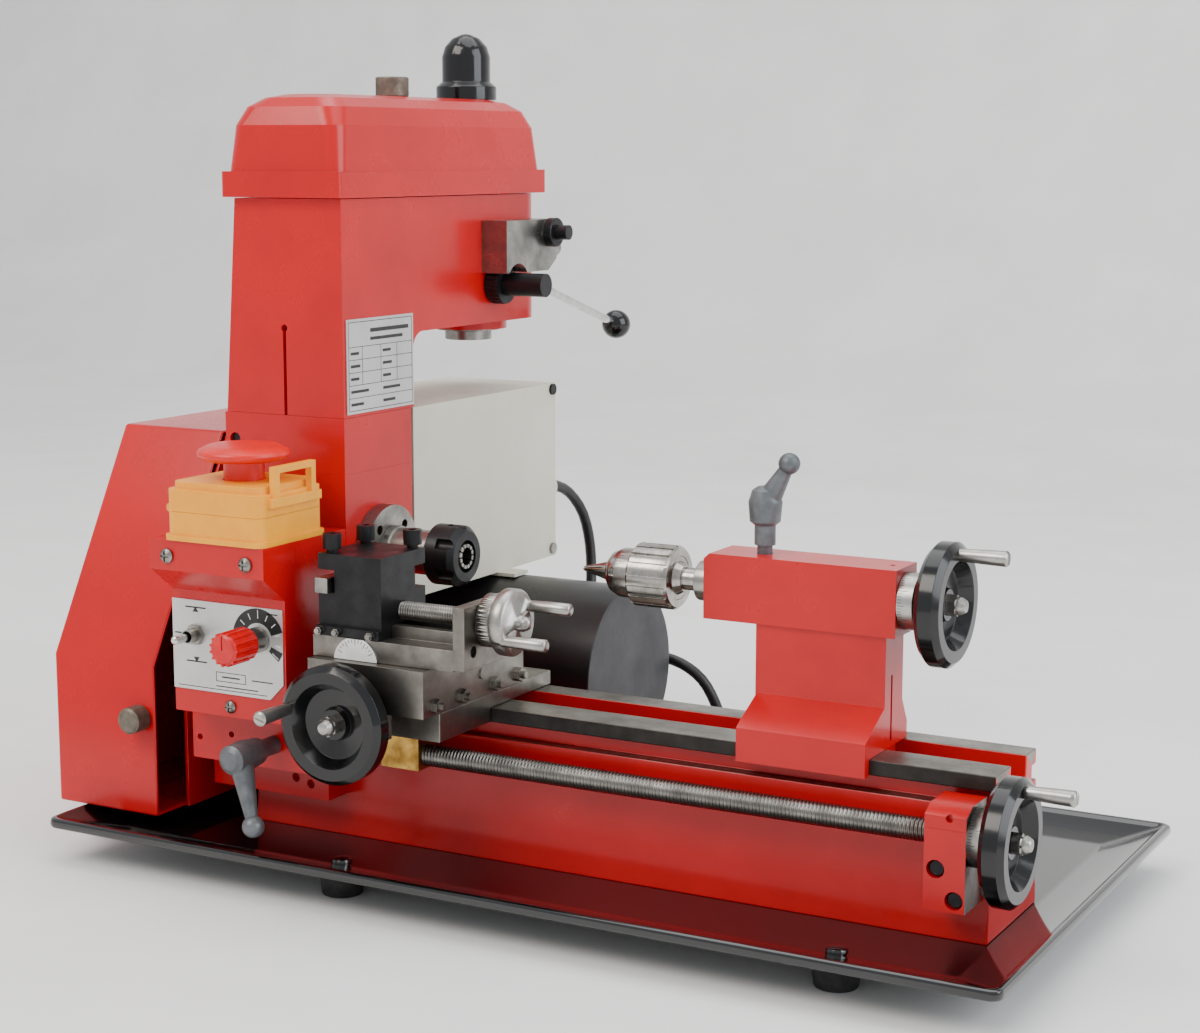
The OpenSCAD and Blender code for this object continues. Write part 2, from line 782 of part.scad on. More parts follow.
module cover_fittings() color("#6b6459") {
    // Knurled nut and the stud that it closes on
    turned_z([col_x, 78.5, cover_top], [
        [0, 0], [0, 9], [0.8, 9.6], [11, 9.6], [11.8, 9], [11.8, 0]
    ]);
    rod_z([col_x, 78.5, arm_top], stud_d, cover_top - arm_top);
    // Cap over the end of the mill spindle
    turned_z([col_x, mill_y, cover_top], [
        [0, 0], [0, 18.5], [8, 18.5], [11, 14.8], [26, 14.8], [32, 13], [37, 8.6], [39.5, 3], [40, 0]
    ]);
}

module data_plate() color("silver")
    box_at([head_x[1], -30.5, 78], [head_x[1] + 0.8, 35, 130]);

module head_belt() color("#202020")
    translate([col_x, 0, cover_z + 4 + step_h + 1.8]) linear_extrude(step_h - 3.6) difference() {
        belt_outline(belt_step_r - 0.4);
        belt_outline(belt_step_r - groove + run_fit);
    }

// Loop over two equal pulleys
module belt_outline(r) {
    circle(r);
    translate([0, mill_y]) circle(r);
    translate([-r, 0]) square([2 * r, mill_y]);
}

module depth_bracket() color("silver") {
    difference() {
        prism_x(head_x[1], head_x[1] + 17.5, [
            [111, 149], [111, 180], [170, 180], [170, 156], [160, 149]
        ]);
        rod_x([head_x[1] - 1, pinion_at[0], pinion_at[1]], 25, 20);
    }
    // Clamp knobs of the depth stop
    turned_x([head_x[1] + 17.5, 161, 172], [
        [0, 0], [0, 8.2], [0.6, 8.8], [5.5, 8.8], [6, 8.2], [6, 4.5], [14, 4.5], [14, 0]
    ]);
    turned_y([head_x[1] + 9, 170, 162], [[0, 0], [0, 3], [4, 3], [4, 5.5], [11, 5.5], [11, 0]]);
}

quill_bottom = arm_z - 8;
quill_top = arm_top - 15;
mill_d = 16;

module mill_pulley() color("silver") {
    step_pulley(mill_y, mill_d + 2 * run_fit, [18, 15, 12]);
    turned_z([col_x, mill_y, arm_top + 0.1], [
        [0, mill_d / 2 + run_fit], [0, 14], [clear_gap + 4.5, 14], [clear_gap + 4.5, mill_d / 2 + run_fit]
    ]);
}

module mill_quill() color("silver") difference() {
    rod_z([col_x, mill_y, quill_bottom], quill_d, quill_top - quill_bottom);
    rod_z([col_x, mill_y, quill_bottom - 1], mill_d + 6 + 2 * run_fit, arm_top);
    // Rack on the front of the quill
    for (i = [-2 : 6])
        box_at([pinion_x - clear_gap, rack_y - 5, pinion_at[1] + rack_pitch * (i - 0.3)],
            [pinion_x + pinion_w + clear_gap, rack_y + 1.5, pinion_at[1] + rack_pitch * (i + 0.3)]);
    box_at([pinion_x - clear_gap, rack_y - 5, pinion_at[1] - 2.3 * rack_pitch],
        [pinion_x + pinion_w + clear_gap, rack_y - tooth_h, pinion_at[1] + 6.3 * rack_pitch]);
}

module mill_spindle() color("silver") difference() {
    union() {
        rod_z([col_x, mill_y, quill_bottom - 6], 29, 5.7);
        rod_z([col_x, mill_y, quill_bottom - 1], mill_d + 6, quill_top - quill_bottom);
        rod_z([col_x, mill_y, arm_z], mill_d, cover_z + 40 - arm_z);
    }
    rod_z([col_x, mill_y, quill_bottom - 7], mill_bore, mill_bore_l + 1);
}

mill_bore = 12.1;
mill_bore_l = 30;
ball_at = [-26, 221.3, arm_z - 6.4];
ball_d = 18;

module quill_lever() color("silver") {
    // Pinion and its shaft
    rod_x([pinion_x, pinion_at[0], pinion_at[1]], 2 * (pinion_r - 1.6), pinion_w);
    for (i = [0 : rack_teeth - 1])
        translate([pinion_x, pinion_at[0], pinion_at[1]]) rotate([i * 360 / rack_teeth, 0, 0])
            translate([side_step, 0, -1]) cube([pinion_w - 2 * side_step, pinion_r + tooth_h, 2]);
    rod_x([hub_x - 38, pinion_at[0], pinion_at[1]], hub_d, 38 - hub_x - 21);
    // Knurled collar
    turned_x([hub_x + 0.3, pinion_at[0], pinion_at[1]], [[0, 0], [0, 11.5], [9, 11.5], [9, 0]]);
    run = [0, ball_at.y - pinion_at[0], ball_at.z - pinion_at[1]];
    translate([ball_at.x, pinion_at[0], pinion_at[1]])
        rotate([-atan2(run.y, run.z), 0, 0]) cylinder(d = 5, h = norm(run));
    translate(ball_at) sphere(d = ball_d);
}

// ---- leadscrew ----

bracket_x = [292, 313];
bracket_y = -60;
bracket_screws = [[298, way_z - 40.5], [307.5, way_z - 55]];

module lead_bracket() color("firebrick") difference() {
    union() {
        box_at([bracket_x[0], bracket_y, way_z - 61], [bracket_x[1], -20, way_z - 20.6]);
        prism_x(bracket_x[0], bracket_x[1], [
            [bracket_y, way_z - 20.5], [bracket_y, way_z - 14], [-52, way_z - 10],
            [-20, way_z - 10], [-20, way_z - 20.5]
        ]);
        box_at([bracket_x[0] + 1, bracket_y + 1, way_z - 21], [bracket_x[1] - 1, -20, way_z - 20]);
    }
    translate([200, 0, 0]) rotate([90, 0, 90]) linear_extrude(200) offset_bed();
    rod_x([bracket_x[0] - 1, lead_y, lead_z], lead_journal + 2 * run_fit, 40);
    for (p = bracket_screws)
        rod_y([p[0], bracket_y - 1, p[1]], 9, 9);
    rod_y([304.5, bracket_y - 1, way_z - 15], 3.8, 4);
}

// Dished wheel: hub from x = 0, rim front at x = depth
module hand_wheel(depth, bore) {
    back = depth - rim_w;
    difference() {
        rotate([0, 90, 0]) rotate_extrude() polygon([
            [bore / 2, 0], [9, 0], [9, back + 0.5], [wheel_d / 2 - 11, back + 2], [wheel_d / 2 - 3, back],
            [wheel_d / 2, back + 3], [wheel_d / 2, depth - 3], [wheel_d / 2 - 3, depth],
            [wheel_d / 2 - 9, depth], [wheel_d / 2 - 13, back + 6], [9, back + 4.5],
            [8, back + 8], [bore / 2, back + 8]
        ]);
        translate([back - 1, 0, crank_r()]) rotate([0, 90, 0]) cylinder(d = 5, h = rim_w + 2);
    }
}

function crank_r() = wheel_d / 2 - 6;

// Crank handle with a slotted tip, standing on the rim's front at x = 0
module crank() difference() {
    rotate([0, 90, 0]) union() {
        rotate_extrude() polygon([
            [0, 0.05], [crank_d / 2 - 0.6, 0.05], [crank_d / 2, crank_l * 0.6],
            [crank_d / 2 + 0.2, crank_l - 1], [crank_d / 2 - 0.8, crank_l], [0, crank_l]
        ]);
        translate([0, 0, -8]) cylinder(d = 4.9, h = 9);
    }
    translate([crank_l - 1.2, -0.6, -crank_d]) cube([2, 1.2, 2 * crank_d]);
}

// Acorn nut with its face at x = 0
module acorn_nut() {
    rotate([0, 90, 0]) cylinder(d = 11, h = 4.5, $fn = 6);
    turned_x([4.5, 0, 0], [[0, 0], [0, 4.8], [2, 4.5], [4.5, 3], [5.5, 0]]);
}

wheel_journal = 8;
lead_wheel_x = bracket_x[1] + 9.3;
lead_depth = 14.7;

module leadscrew() color("silver") {
    left = -136;
    rod_x([left, lead_y, lead_z], lead_journal, -57 - left);
    rod_x([-57.5, lead_y, lead_z], leadscrew_d, bracket_x[0] - 0.5 + 57.5);
    rod_x([bracket_x[0] - 1, lead_y, lead_z], lead_journal, 30 - 1);
    // Graduated dial
    turned_x([bracket_x[1] + 0.3, lead_y, lead_z], [[0, 4], [0, 14.2], [8.6, 14.2], [8.9, 13.8], [8.9, 4]]);
    rod_x([bracket_x[0] + 20, lead_y, lead_z], wheel_journal, lead_wheel_x + 12 - bracket_x[0] - 20);
    translate([lead_wheel_x + lead_depth - rim_w + 8.05, lead_y, lead_z]) acorn_nut();
    translate([lead_wheel_x + lead_depth, lead_y, lead_z + crank_r()]) crank();
}

module lead_wheel() color("#1b1b1d")
    translate([lead_wheel_x, lead_y, lead_z]) hand_wheel(lead_depth, wheel_journal);

// ---- carriage ----

nut_x = [-20, 4];
saddle_x = [carriage_x - saddle_l / 2, carriage_x + saddle_l / 2];
dove = 17;
dove_h = 7;
apron_z = way_z - 7.5;

module saddle() color("gray") difference() {
    union() {
        box_at([saddle_x[0], saddle_front, way_z + slide_gap], [saddle_x[1], 33, saddle_top]);
        box_at([saddle_x[0], saddle_front, apron_z], [saddle_x[1], way_front - 0.4, way_z + 1]);
        // Dovetail for the cross slide
        prism_y(saddle_front, 33, [
            [screw_x + 1 - dove, saddle_top - 0.1], [screw_x + 1 + dove, saddle_top - 0.1],
            [screw_x + 1 + dove * 1.3, saddle_top + dove_h],
            [screw_x + 1 - dove * 1.3, saddle_top + dove_h]
        ]);
    }
    // Clearance for the cross screw
    rod_y([screw_x, -120, screw_z], cross_screw_d + 2 * clear_gap, 140);
}

module brass_nut() color("goldenrod") difference() {
    box_at([nut_x[0], -57, way_z - 33], [nut_x[1], -38, way_z - 7.6]);
    rod_x([nut_x[0] - 1, lead_y, lead_z], leadscrew_d + 2 * run_fit, 30);
}

module cross_slide() color("gray") {
    difference() {
        union() {
            box_at([cross_x[0], cross_y[0], saddle_top + slide_gap], [cross_x[1], cross_y[1], cross_top]);
            // Plate that carries the cross screw
            box_at([screw_x - 22, cross_y[0], way_z - 6], [screw_x + 22, cross_y[0] + 6, saddle_top + 1]);
        }
        prism_y(cross_y[0] - 1, cross_y[1] + 1, [
            [screw_x + 1 - dove - 0.3, saddle_top - 1], [screw_x + 1 + dove + 0.3, saddle_top - 1],
            [screw_x + 1 + dove + 0.3, saddle_top], [screw_x + 1 + dove * 1.3 + 0.3, saddle_top + dove_h + 0.3],
            [screw_x + 1 - dove * 1.3 - 0.3, saddle_top + dove_h + 0.3], [screw_x + 1 - dove - 0.3, saddle_top]
        ]);
        rod_y([screw_x, cross_y[0] - 1, screw_z], cross_screw_d + 2 * run_fit, 8);
        translate([pivot.x, pivot.y, cross_top - 5]) cylinder(d = 16 + 2 * run_fit, h = 6);
    }
    // Gib screws and their lock nuts
    for (y = [-86, -60, -28, -3])
        translate([cross_x[1], y, saddle_top + 5]) rotate([0, 90, 0]) {
            cylinder(d = 8, h = 3, $fn = 6);
            cylinder(d = 4, h = 5.5);
        }
    rod_x([cross_x[1], -40, saddle_top + 13], 6, 1);
}

cross_wheel_y = -118;

module facing_front(x, y, z) translate([x, y, z]) rotate([0, 0, -90]) children();

module cross_screw() color("silver") {
    rod_y([screw_x, cross_y[0] - 4, screw_z], cross_screw_d, 60);
    // Graduated dial
    turned_y([screw_x, cross_y[0] - 5.8, screw_z], [[0, 0], [0, 12], [5.5, 12], [5.5, 0]]);
    rod_y([screw_x, cross_wheel_y + 4, screw_z], wheel_journal, -cross_wheel_y + cross_y[0] - 5);
    facing_front(screw_x, cross_wheel_y + rim_w - 8.05, screw_z) acorn_nut();
    translate([screw_x, 0, screw_z]) rotate([0, cross_turn, 0])
        facing_front(0, cross_wheel_y, crank_r()) crank();
}

cross_turn = -75;

module cross_wheel() color("#1b1b1d")
    translate([screw_x, 0, screw_z]) rotate([0, cross_turn, 0])
        facing_front(0, cross_wheel_y + 14.6, 0) hand_wheel(14.6, wheel_journal);

comp_x = [-39, 48];
comp_y = [-91, -43];
rail_y = [-78, -56];
rail_top = base_top + 6.5;
dome_w = 27;
dome_h = 12;

module compound_base() color("gray") {
    difference() {
        union() {
            box_at([comp_x[0], comp_y[0], cross_top + slide_gap], [comp_x[1], comp_y[1], base_top]);
            rod_z([pivot.x, pivot.y, cross_top - 4.8], 16, 6);
            box_at([comp_x[0], rail_y[0], base_top - 0.1], [comp_x[1], rail_y[1], rail_top]);
        }
        box_at([comp_x[0] - 1, pivot.y - 5.6, base_top + 0.5], [comp_x[1] + 1, pivot.y + 5.6, rail_top + 1]);
    }
    // Angle scale on the front
    intersection() {
        rod_y([pivot.x, comp_y[0] - 1, cross_top - 1.2], 2 * dome_h + 3.4, 1.1);
        box_at([pivot.x - dome_w / 2, comp_y[0] - 2, cross_top + slide_gap],
            [pivot.x + dome_w / 2, comp_y[0], base_top]);
    }
    // End plate that carries the top-slide screw
    difference() {
        prism_y(comp_y[0], comp_y[1], [
            [comp_x[1], cross_top + 1], [comp_x[1] + 7, cross_top + 1], [comp_x[1] + 7, -8],
            [comp_x[1], -8]
        ]);
        rod_x([comp_x[1] - 1, pivot.y, top_screw_z], top_journal + 2 * run_fit, 10);
        for (s = [-1, 1])
            rod_x([comp_x[1] + 3, pivot.y + s * 15, -32], 6, 5);
    }
}

top_journal = 8;
slot_floor = -tool_size - 0.1;

module tool_post() color("#1b1b1d") {
    difference() {
        union() {
            box_at([post_x[0], post_y[0], base_top + slide_gap], [post_x[1], post_y[1], 12.5]);
            box_at([post_x[0], comp_y[0], base_top + slide_gap], [post_x[1], comp_y[1], base_top + 5]);
        }
        // Slide over the rails
        box_at([post_x[0] - 1, rail_y[0] - slide_gap, base_top - 1],
            [post_x[1] + 1, rail_y[1] + slide_gap, rail_top + slide_gap]);
        // Thread of the top-slide screw
        rod_x([post_x[0] - 1, pivot.y, top_screw_z], top_screw_d + 2 * run_fit, 60);
        // Tool slots along the left side and the back
        box_at([post_x[0] - 1, post_y[0] - 1, slot_floor], [post_x[0] + 10.2, post_y[1] + 1, 4]);
        box_at([post_x[0] - 1, post_y[1] - 10.2, slot_floor], [post_x[1] + 1, post_y[1] + 1, 4]);
    }
    // Clamp screws
    for (p = [[-32, -82], [-32, -51], [-2, -51]]) {
        cap_head([p[0], p[1], 14.5], 10, 8);
        rod_z([p[0], p[1], 4.05], 6, 11);
        rod_z([p[0], p[1], 12.4], 6, 3);
    }
    // Gib screws on the front
    for (x = [-34, -23, -2])
        translate([x, comp_y[0], base_top + 2.6]) rotate([90, 0, 0]) {
            cylinder(d = 4.4, h = 2.5, $fn = 6);
            cylinder(d = 3, h = 4);
        }
}

module tool_bit() color("silver") difference() {
    box_at([post_x[0] + 0.4, post_y[0] - 4, slot_floor + 0.05], [post_x[0] + 0.4 + tool_size, -38, 0]);
    translate([post_x[0] - 2, -38, 0]) rotate([0, 0, -30]) translate([-2, 0, -20]) cube([30, 20, 40]);
}

top_wheel_x = 64;

module top_screw() color("silver") {
    rod_x([post_x[0] + 4, pivot.y, top_screw_z], top_screw_d, comp_x[1] - 0.6 - post_x[0] - 4);
    rod_x([comp_x[1] - 2, pivot.y, top_screw_z], top_journal, 26);
    turned_x([comp_x[1] + 7.3, pivot.y, top_screw_z], [[0, 0], [0, 14], [8.5, 14], [8.5, 0]]);
    turned_x([top_wheel_x, pivot.y, top_screw_z], [
        [0, 0], [0, 16], [1.5, 17.5], [7, 17.5], [8.6, 16], [8.6, 0]
    ]);
    translate([top_wheel_x + 8.6, pivot.y, top_screw_z]) scale(0.8) acorn_nut();
    for (p = [[-55, -11], [-80, -25]])
        turned_x([top_wheel_x + 6, p[0], p[1]], [
            [0, 0], [0, 2.8], [16, 3.3], [26, 3.3], [27, 2.4], [27, 0]
        ]);
}

lever_ball = [-65, -112, lead_z - 33];

module feed_lever() color("slategray") {
    rod_y([clamp_x, -70 - 4, lead_z], clamp_stud_d, clamp_depth + 4 - 0.5);
    turned_y([clamp_x, -110, lead_z], [[0, 0], [0, 5], [2, 8], [12, 8.8], [24, 7.5], [30, 5], [39.6, 5], [39.6, 0]]);
    hull() {
        translate([clamp_x, -100, lead_z]) sphere(d = 14, $fn = 32);
        translate(lever_ball) sphere(d = 6, $fn = 32);
    }
    translate(lever_ball) sphere(d = 12);
}

// ---- tailstock ----

lock_x = 180;
tail_bore = tail_quill_d + 2 * run_fit;

module tailstock() color("firebrick") {
    difference() {
        union() {
            prism_y(-tail_y, tail_y, [
                [tail_x[0], -17], [tail_x[1], -17], [tail_x[1], 17.3], [tail_x[0] + 3, 17.3], [tail_x[0], 14.5]
            ]);
            box_at([181, -12, -63], [252, 12, -16]);
            // Flared foot
            prism_x(182, 252, [
                [-37, way_z - 8.5], [-37, way_z + 9], [-30, way_z + 13], [-12, way_z + 22], [12, way_z + 22],
                [17, way_z + 13], [19.4, way_z + 9], [19.4, way_z + slide_gap],
                [way_front - 0.4, way_z + slide_gap], [way_front - 0.4, way_z - 8.5]
            ]);
            // Tongue in the channel
            box_at([186, channel_y[0] + 0.3, way_z - 8], [248, channel_y[1] - 0.3, way_z + 1]);
        }
        rod_x([tail_x[0] - 1, 0, 0], tail_bore, tail_x[1] - 6 - tail_x[0] + 1);
        rod_x([tail_x[0], 0, 0], tail_journal + 2 * run_fit, 120);
        rod_z([lock_x, 0, tail_quill_d / 2 + 2], 8.4, 20);
        rod_z([250, 0, 12], 3, 6);
        box_at([240, -4, way_z + 3], [253, -2, -38]);
    }
}

tail_journal = 9;
tail_quill_l = 50 + tail_travel;

module tail_quill() color("silver") difference() {
    rod_x([quill_tip, 0, 0], tail_quill_d, tail_quill_l);
    rod_x([quill_tip + 20, 0, 0], tail_screw_d + 2 * run_fit, tail_quill_l);
    turned_x([quill_tip - 1, 0, 0], [[0, 0], [0, 5.1], [14, 4.55], [14, 0]]);
}

tail_screw_d = 9;
tail_wheel_x = tail_x[1] + 8.5;
tail_depth = 19;

module tail_screw() color("silver") {
    rod_x([quill_tip + 70, 0, 0], tail_screw_d, tail_x[1] + 8 - quill_tip - 70);
    turned_x([tail_x[1] - 11.3, 0, 0], [[0, 0], [0, 8], [5, 8], [5, 0]]);
    turned_x([tail_x[1] + 0.3, 0, 0], [[0, 0], [0, 14.5], [8, 14.5], [8, 0]]);
    rod_x([tail_x[1], 0, 0], wheel_journal, 22);
    translate([tail_wheel_x + tail_depth - rim_w + 8.05, 0, 0]) acorn_nut();
    translate([tail_wheel_x + tail_depth, 0, crank_r()]) crank();
}

module tail_wheel() color("#1b1b1d")
    translate([tail_wheel_x, 0, 0]) hand_wheel(tail_depth, wheel_journal);

lever_tip = [193, 0, 64.5];

module tail_lever() color("slategray") {
    rod_z([lock_x, 0, tail_quill_d / 2 + 2.5], 8, 12);
    turned_z([lock_x, 0, 22], [[0, 0], [0, 5.5], [10, 5.5], [12, 8], [22, 8.8], [28, 7], [30, 4], [30, 0]]);
    hull() {
        translate([lock_x + 1, 0, 44]) sphere(d = 13, $fn = 32);
        translate(lever_tip) sphere(d = 6, $fn = 32);
    }
    translate(lever_tip) sphere(d = 11.2);
}

nose_x = 90.4;

module drill_chuck() color("silver") difference() {
    union() {
        turned_x([nose_x, 0, 0], [
            [0, 0], [0, 7.4], [3, 11], [8, 13.2], [chuck_x[0] - nose_x, 13.5],
            [chuck_x[0] - nose_x, 11.5], [chuck_x[1] - nose_x, 11.5], [chuck_x[1] - nose_x, 0]
        ]);
        turned_x([chuck_x[1] - 0.1, 0, 0], [[0, 0], [0, 9], [4, 7], [4, 6], [13, 6], [13.1, 5], [25, 4.5], [25, 0]]);
    }
    rod_x([nose_x - 1, 0, 0], jaw_d + 2 * run_fit, 30);
    for (a = [80 : 120 : 359])
        rotate([a, 0, 0]) rod_z([97, 0, 8.5], 4.5, 8);
}

jaw_d = 11;

module chuck_sleeve() color("silver") difference() {
    turned_x([chuck_x[0] + 0.3, 0, 0], [
        [0, 11.6], [0, 15.5], [1.5, chuck_d / 2], [22.5, chuck_d / 2], [24.2, 15.5], [24.2, 11.6]
    ]);
    for (a = [0 : 20 : 359])
        rotate([a, 0, 0]) translate([chuck_x[0] - 1, -0.7, chuck_d / 2 - 1]) cube([28, 1.4, 3]);
}

module chuck_jaws() color("silver") difference() {
    turned_x([74, 0, 0], [[0, 0], [0, 1.2], [nose_x - 74, jaw_d / 2], [30, jaw_d / 2], [30, 0]]);
    for (a = [0 : 60 : 179])
        translate([73, 0, 0]) rotate([a, 0, 0]) translate([0, -0.25, -10]) cube([14, 0.5, 20]);
}

// ---- mains cord ----

cord_route = [
    gland_at + [0, 11, 0], [-70, 218, 7], [-69, 236, 0], [-66, 250, -16], [-64, 256, -38],
    [-62, 254, -62], [-58, 244, -84], [-46, 228, -98], [-28, 214, -99], [-6, 206, -95],
    [14, 202, -94], [32, 201, -97], [46, 202, -106], [54, 205, -121], [57, 210, -138],
    [54, 216, -154], [42, 224, -166], [24, 232, -171], [0, 238, -171.4], [-30, 240, -171.4],
    [-60, 238, -171.4], [-84, 228, -171.4]
];
cord_sides = 10;
cord_steps = 3;
coil_at = [-110, 267.5];
coil_d = 88;
coil_h = 21;

// Catmull-Rom curve through the route
function cord_point(i, t) =
    let (n = len(cord_route) - 1,
        a = cord_route[max(i - 1, 0)], b = cord_route[i],
        c = cord_route[min(i + 1, n)], d = cord_route[min(i + 2, n)])
    0.5 * (2 * b + (c - a) * t + (2 * a - 5 * b + 4 * c - d) * t * t
        + (3 * b - 3 * c + d - a) * t * t * t);

cord_line = concat(
    [for (i = [0 : len(cord_route) - 2], k = [0 : cord_steps - 1]) cord_point(i, k / cord_steps)],
    [cord_route[len(cord_route) - 1]]);

function unit(v) = v / norm(v);
function cord_dir(i) = i == 0 ? [0, 1, 0]
    : unit(cord_line[min(i + 1, len(cord_line) - 1)] - cord_line[i - 1]);
function cord_side(i) = unit(cross(cord_dir(i), [0.3, 0.2, 1]));

module mains_cord() color("#222222") {
    n = len(cord_line);
    points = [
        for (i = [0 : n - 1], k = [0 : cord_sides - 1])
            let (a = 360 * k / cord_sides, u = cord_side(i), v = cross(cord_dir(i), u))
            cord_line[i] + (u * cos(a) + v * sin(a)) * cord_d / 2
    ];
    sides = [
        for (i = [0 : n - 2], k = [0 : cord_sides - 1])
            let (k2 = (k + 1) % cord_sides, r = i * cord_sides)
            [r + k, r + cord_sides + k, r + cord_sides + k2, r + k2]
    ];
    ends = [
        [for (k = [0 : cord_sides - 1]) k],
        [for (k = [cord_sides - 1 : -1 : 0]) (n - 1) * cord_sides + k]
    ];
    polyhedron(points, concat(sides, ends));
}

module cord_coil() color("#222222")
    translate([coil_at.x, coil_at.y, ground_z]) rotate_extrude() translate([coil_d / 2, 0])
        translate([0, coil_h / 2]) rounded(cord_d * 2 + 0.4, coil_h, 3.4);

plug_at = [10, 307, ground_z];

module mains_plug() color("#222222") {
    box_at(plug_at + [-16, -9, 0], plug_at + [16, 9, 17]);
    for (y = [-4.5, 4.5])
        rod_x(plug_at + [15, y, 8.5], 4, 17);
    // Strain relief, and the end of the cord that comes from the coil
    turned_x(plug_at + [-46, 0, 8.5], [[0, 0], [0, 4.2], [10, 4.4], [30.1, 5.8], [30.1, 0]]);
    rod_x(plug_at + [-94, 0, 8.5], cord_d, 49);
}

chip_tray();
rubber_feet();
bed();
headstock();
feed_block();
column_post();
bearings();
back_plate();
belt_guard();
control_box();
control_panel();
frame_screws();
stop_switch_base();
electronics_box();
motor();
lead_bracket();
drive_belt();
toggle_lever();
speed_knob();
stop_switch_lid();
stop_button();
motor_rotor();
spindle();
collet_chuck();
collet();
collet_nut();
drive_shaft();
head_casting();
head_cover();
cover_fittings();
data_plate();
head_belt();
depth_bracket();
mill_pulley();
mill_quill();
mill_spindle();
quill_lever();
leadscrew();
lead_wheel();
saddle();
brass_nut();
cross_slide();
cross_screw();
cross_wheel();
compound_base();
tool_post();
tool_bit();
top_screw();
feed_lever();
tailstock();
tail_quill();
tail_screw();
tail_wheel();
tail_lever();
drill_chuck();
chuck_sleeve();
chuck_jaws();
mains_cord();
cord_coil();
mains_plug();
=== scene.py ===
import math

import bmesh
import bpy
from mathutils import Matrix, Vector


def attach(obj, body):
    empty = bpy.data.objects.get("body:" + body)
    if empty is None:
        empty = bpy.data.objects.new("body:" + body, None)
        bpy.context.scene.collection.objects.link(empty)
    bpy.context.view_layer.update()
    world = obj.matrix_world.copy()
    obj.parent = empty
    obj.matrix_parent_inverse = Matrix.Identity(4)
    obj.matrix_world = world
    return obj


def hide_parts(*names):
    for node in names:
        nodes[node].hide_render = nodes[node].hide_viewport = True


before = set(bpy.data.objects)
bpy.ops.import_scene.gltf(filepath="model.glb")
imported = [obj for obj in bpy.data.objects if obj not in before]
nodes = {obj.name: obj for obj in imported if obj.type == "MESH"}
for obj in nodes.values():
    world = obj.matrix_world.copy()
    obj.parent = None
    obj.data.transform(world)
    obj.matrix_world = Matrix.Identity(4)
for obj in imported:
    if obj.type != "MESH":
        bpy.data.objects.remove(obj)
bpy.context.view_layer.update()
mm = 0.001


# ---------------------------------------------------------------- camera
# A short telephoto view from the front right, a little above the ways, with
# the whole tray in the picture.
camera_data = bpy.data.cameras.new("camera")
camera_data.lens = 68.1
camera_data.sensor_width = 36.0
camera_data.shift_x = -0.005
camera_data.shift_y = 0.0013
camera = bpy.data.objects.new("camera", camera_data)
camera.location = (0.656, -1.046, 0.2207)
camera.rotation_euler = (math.radians(90 - 9.18), math.radians(-0.09), math.radians(28.55))
bpy.context.scene.collection.objects.link(camera)
bpy.context.scene.camera = camera


# ---------------------------------------------------------------- mains cord
# A 7 mm lead with a black PVC sheath, extruded over three cores. It leaves the
# gland of the electronics box, drops behind the motor and lies in a coil with a
# moulded plug on its end.
def linear(value):
    """An sRGB hex colour as linear red, green, blue and alpha."""
    parts = [int(value[i:i + 2], 16) / 255 for i in (1, 3, 5)]
    return [c / 12.92 if c <= 0.04045 else ((c + 0.055) / 1.055) ** 2.4 for c in parts] + [1.0]


def add_node(tree, kind, settings=None, inputs=None, links=None, stops=None):
    """Adds a node with its settings, its socket values and the sockets that feed it."""
    made = tree.nodes.new(kind)
    for key, value in (settings or {}).items():
        setattr(made, key, value)
    for key, value in (inputs or {}).items():
        made.inputs[key].default_value = value
    for key, source in (links or {}).items():
        tree.links.new(source, made.inputs[key])
    for i, (position, value) in enumerate(stops or []):
        points = made.color_ramp.elements
        point = points[i] if i < len(points) else points.new(position)
        point.position = position
        point.color = linear(value) if isinstance(value, str) else [value] * 3 + [1.0]
    return made


def finish_of(name, pale, deep, patch, gloss, metallic=0.0):
    """A finish whose colour drifts between two tones over patches of a real size in mm,
    and whose roughness drifts with it between the two values of gloss."""
    material = bpy.data.materials.new(name)
    material.use_nodes = True
    tree = material.node_tree
    shader = tree.nodes["Principled BSDF"]
    place = add_node(tree, "ShaderNodeTexCoord")
    cloud = add_node(tree, "ShaderNodeTexNoise",
                     inputs={"Scale": 1 / (patch * mm), "Detail": 5.0, "Roughness": 0.6},
                     links={"Vector": place.outputs["Object"]})
    tone = add_node(tree, "ShaderNodeValToRGB", links={"Fac": cloud.outputs["Fac"]},
                    stops=[(0.32, deep), (0.68, pale)])
    tree.links.new(tone.outputs["Color"], shader.inputs["Base Color"])
    shine = add_node(tree, "ShaderNodeValToRGB", links={"Fac": cloud.outputs["Fac"]},
                     stops=[(0.3, gloss[1]), (0.7, gloss[0])])
    tree.links.new(shine.outputs["Color"], shader.inputs["Roughness"])
    shader.inputs["Metallic"].default_value = metallic
    return material


def grain_on(material, size, height, stretch=(1, 1, 1), detail=2.0):
    """Raises a grain of that size and height in mm, drawn out along an axis by stretch."""
    tree = material.node_tree
    place = add_node(tree, "ShaderNodeTexCoord")
    drawn = add_node(tree, "ShaderNodeMapping", inputs={"Scale": stretch},
                     links={"Vector": place.outputs["Object"]})
    grain = add_node(tree, "ShaderNodeTexNoise",
                     inputs={"Scale": 1 / (size * mm), "Detail": detail, "Roughness": 0.55},
                     links={"Vector": drawn.outputs["Vector"]})
    bump = add_node(tree, "ShaderNodeBump", inputs={"Strength": 1.0, "Distance": height * mm},
                    links={"Height": grain.outputs["Fac"]})
    tree.links.new(bump.outputs["Normal"], tree.nodes["Principled BSDF"].inputs["Normal"])


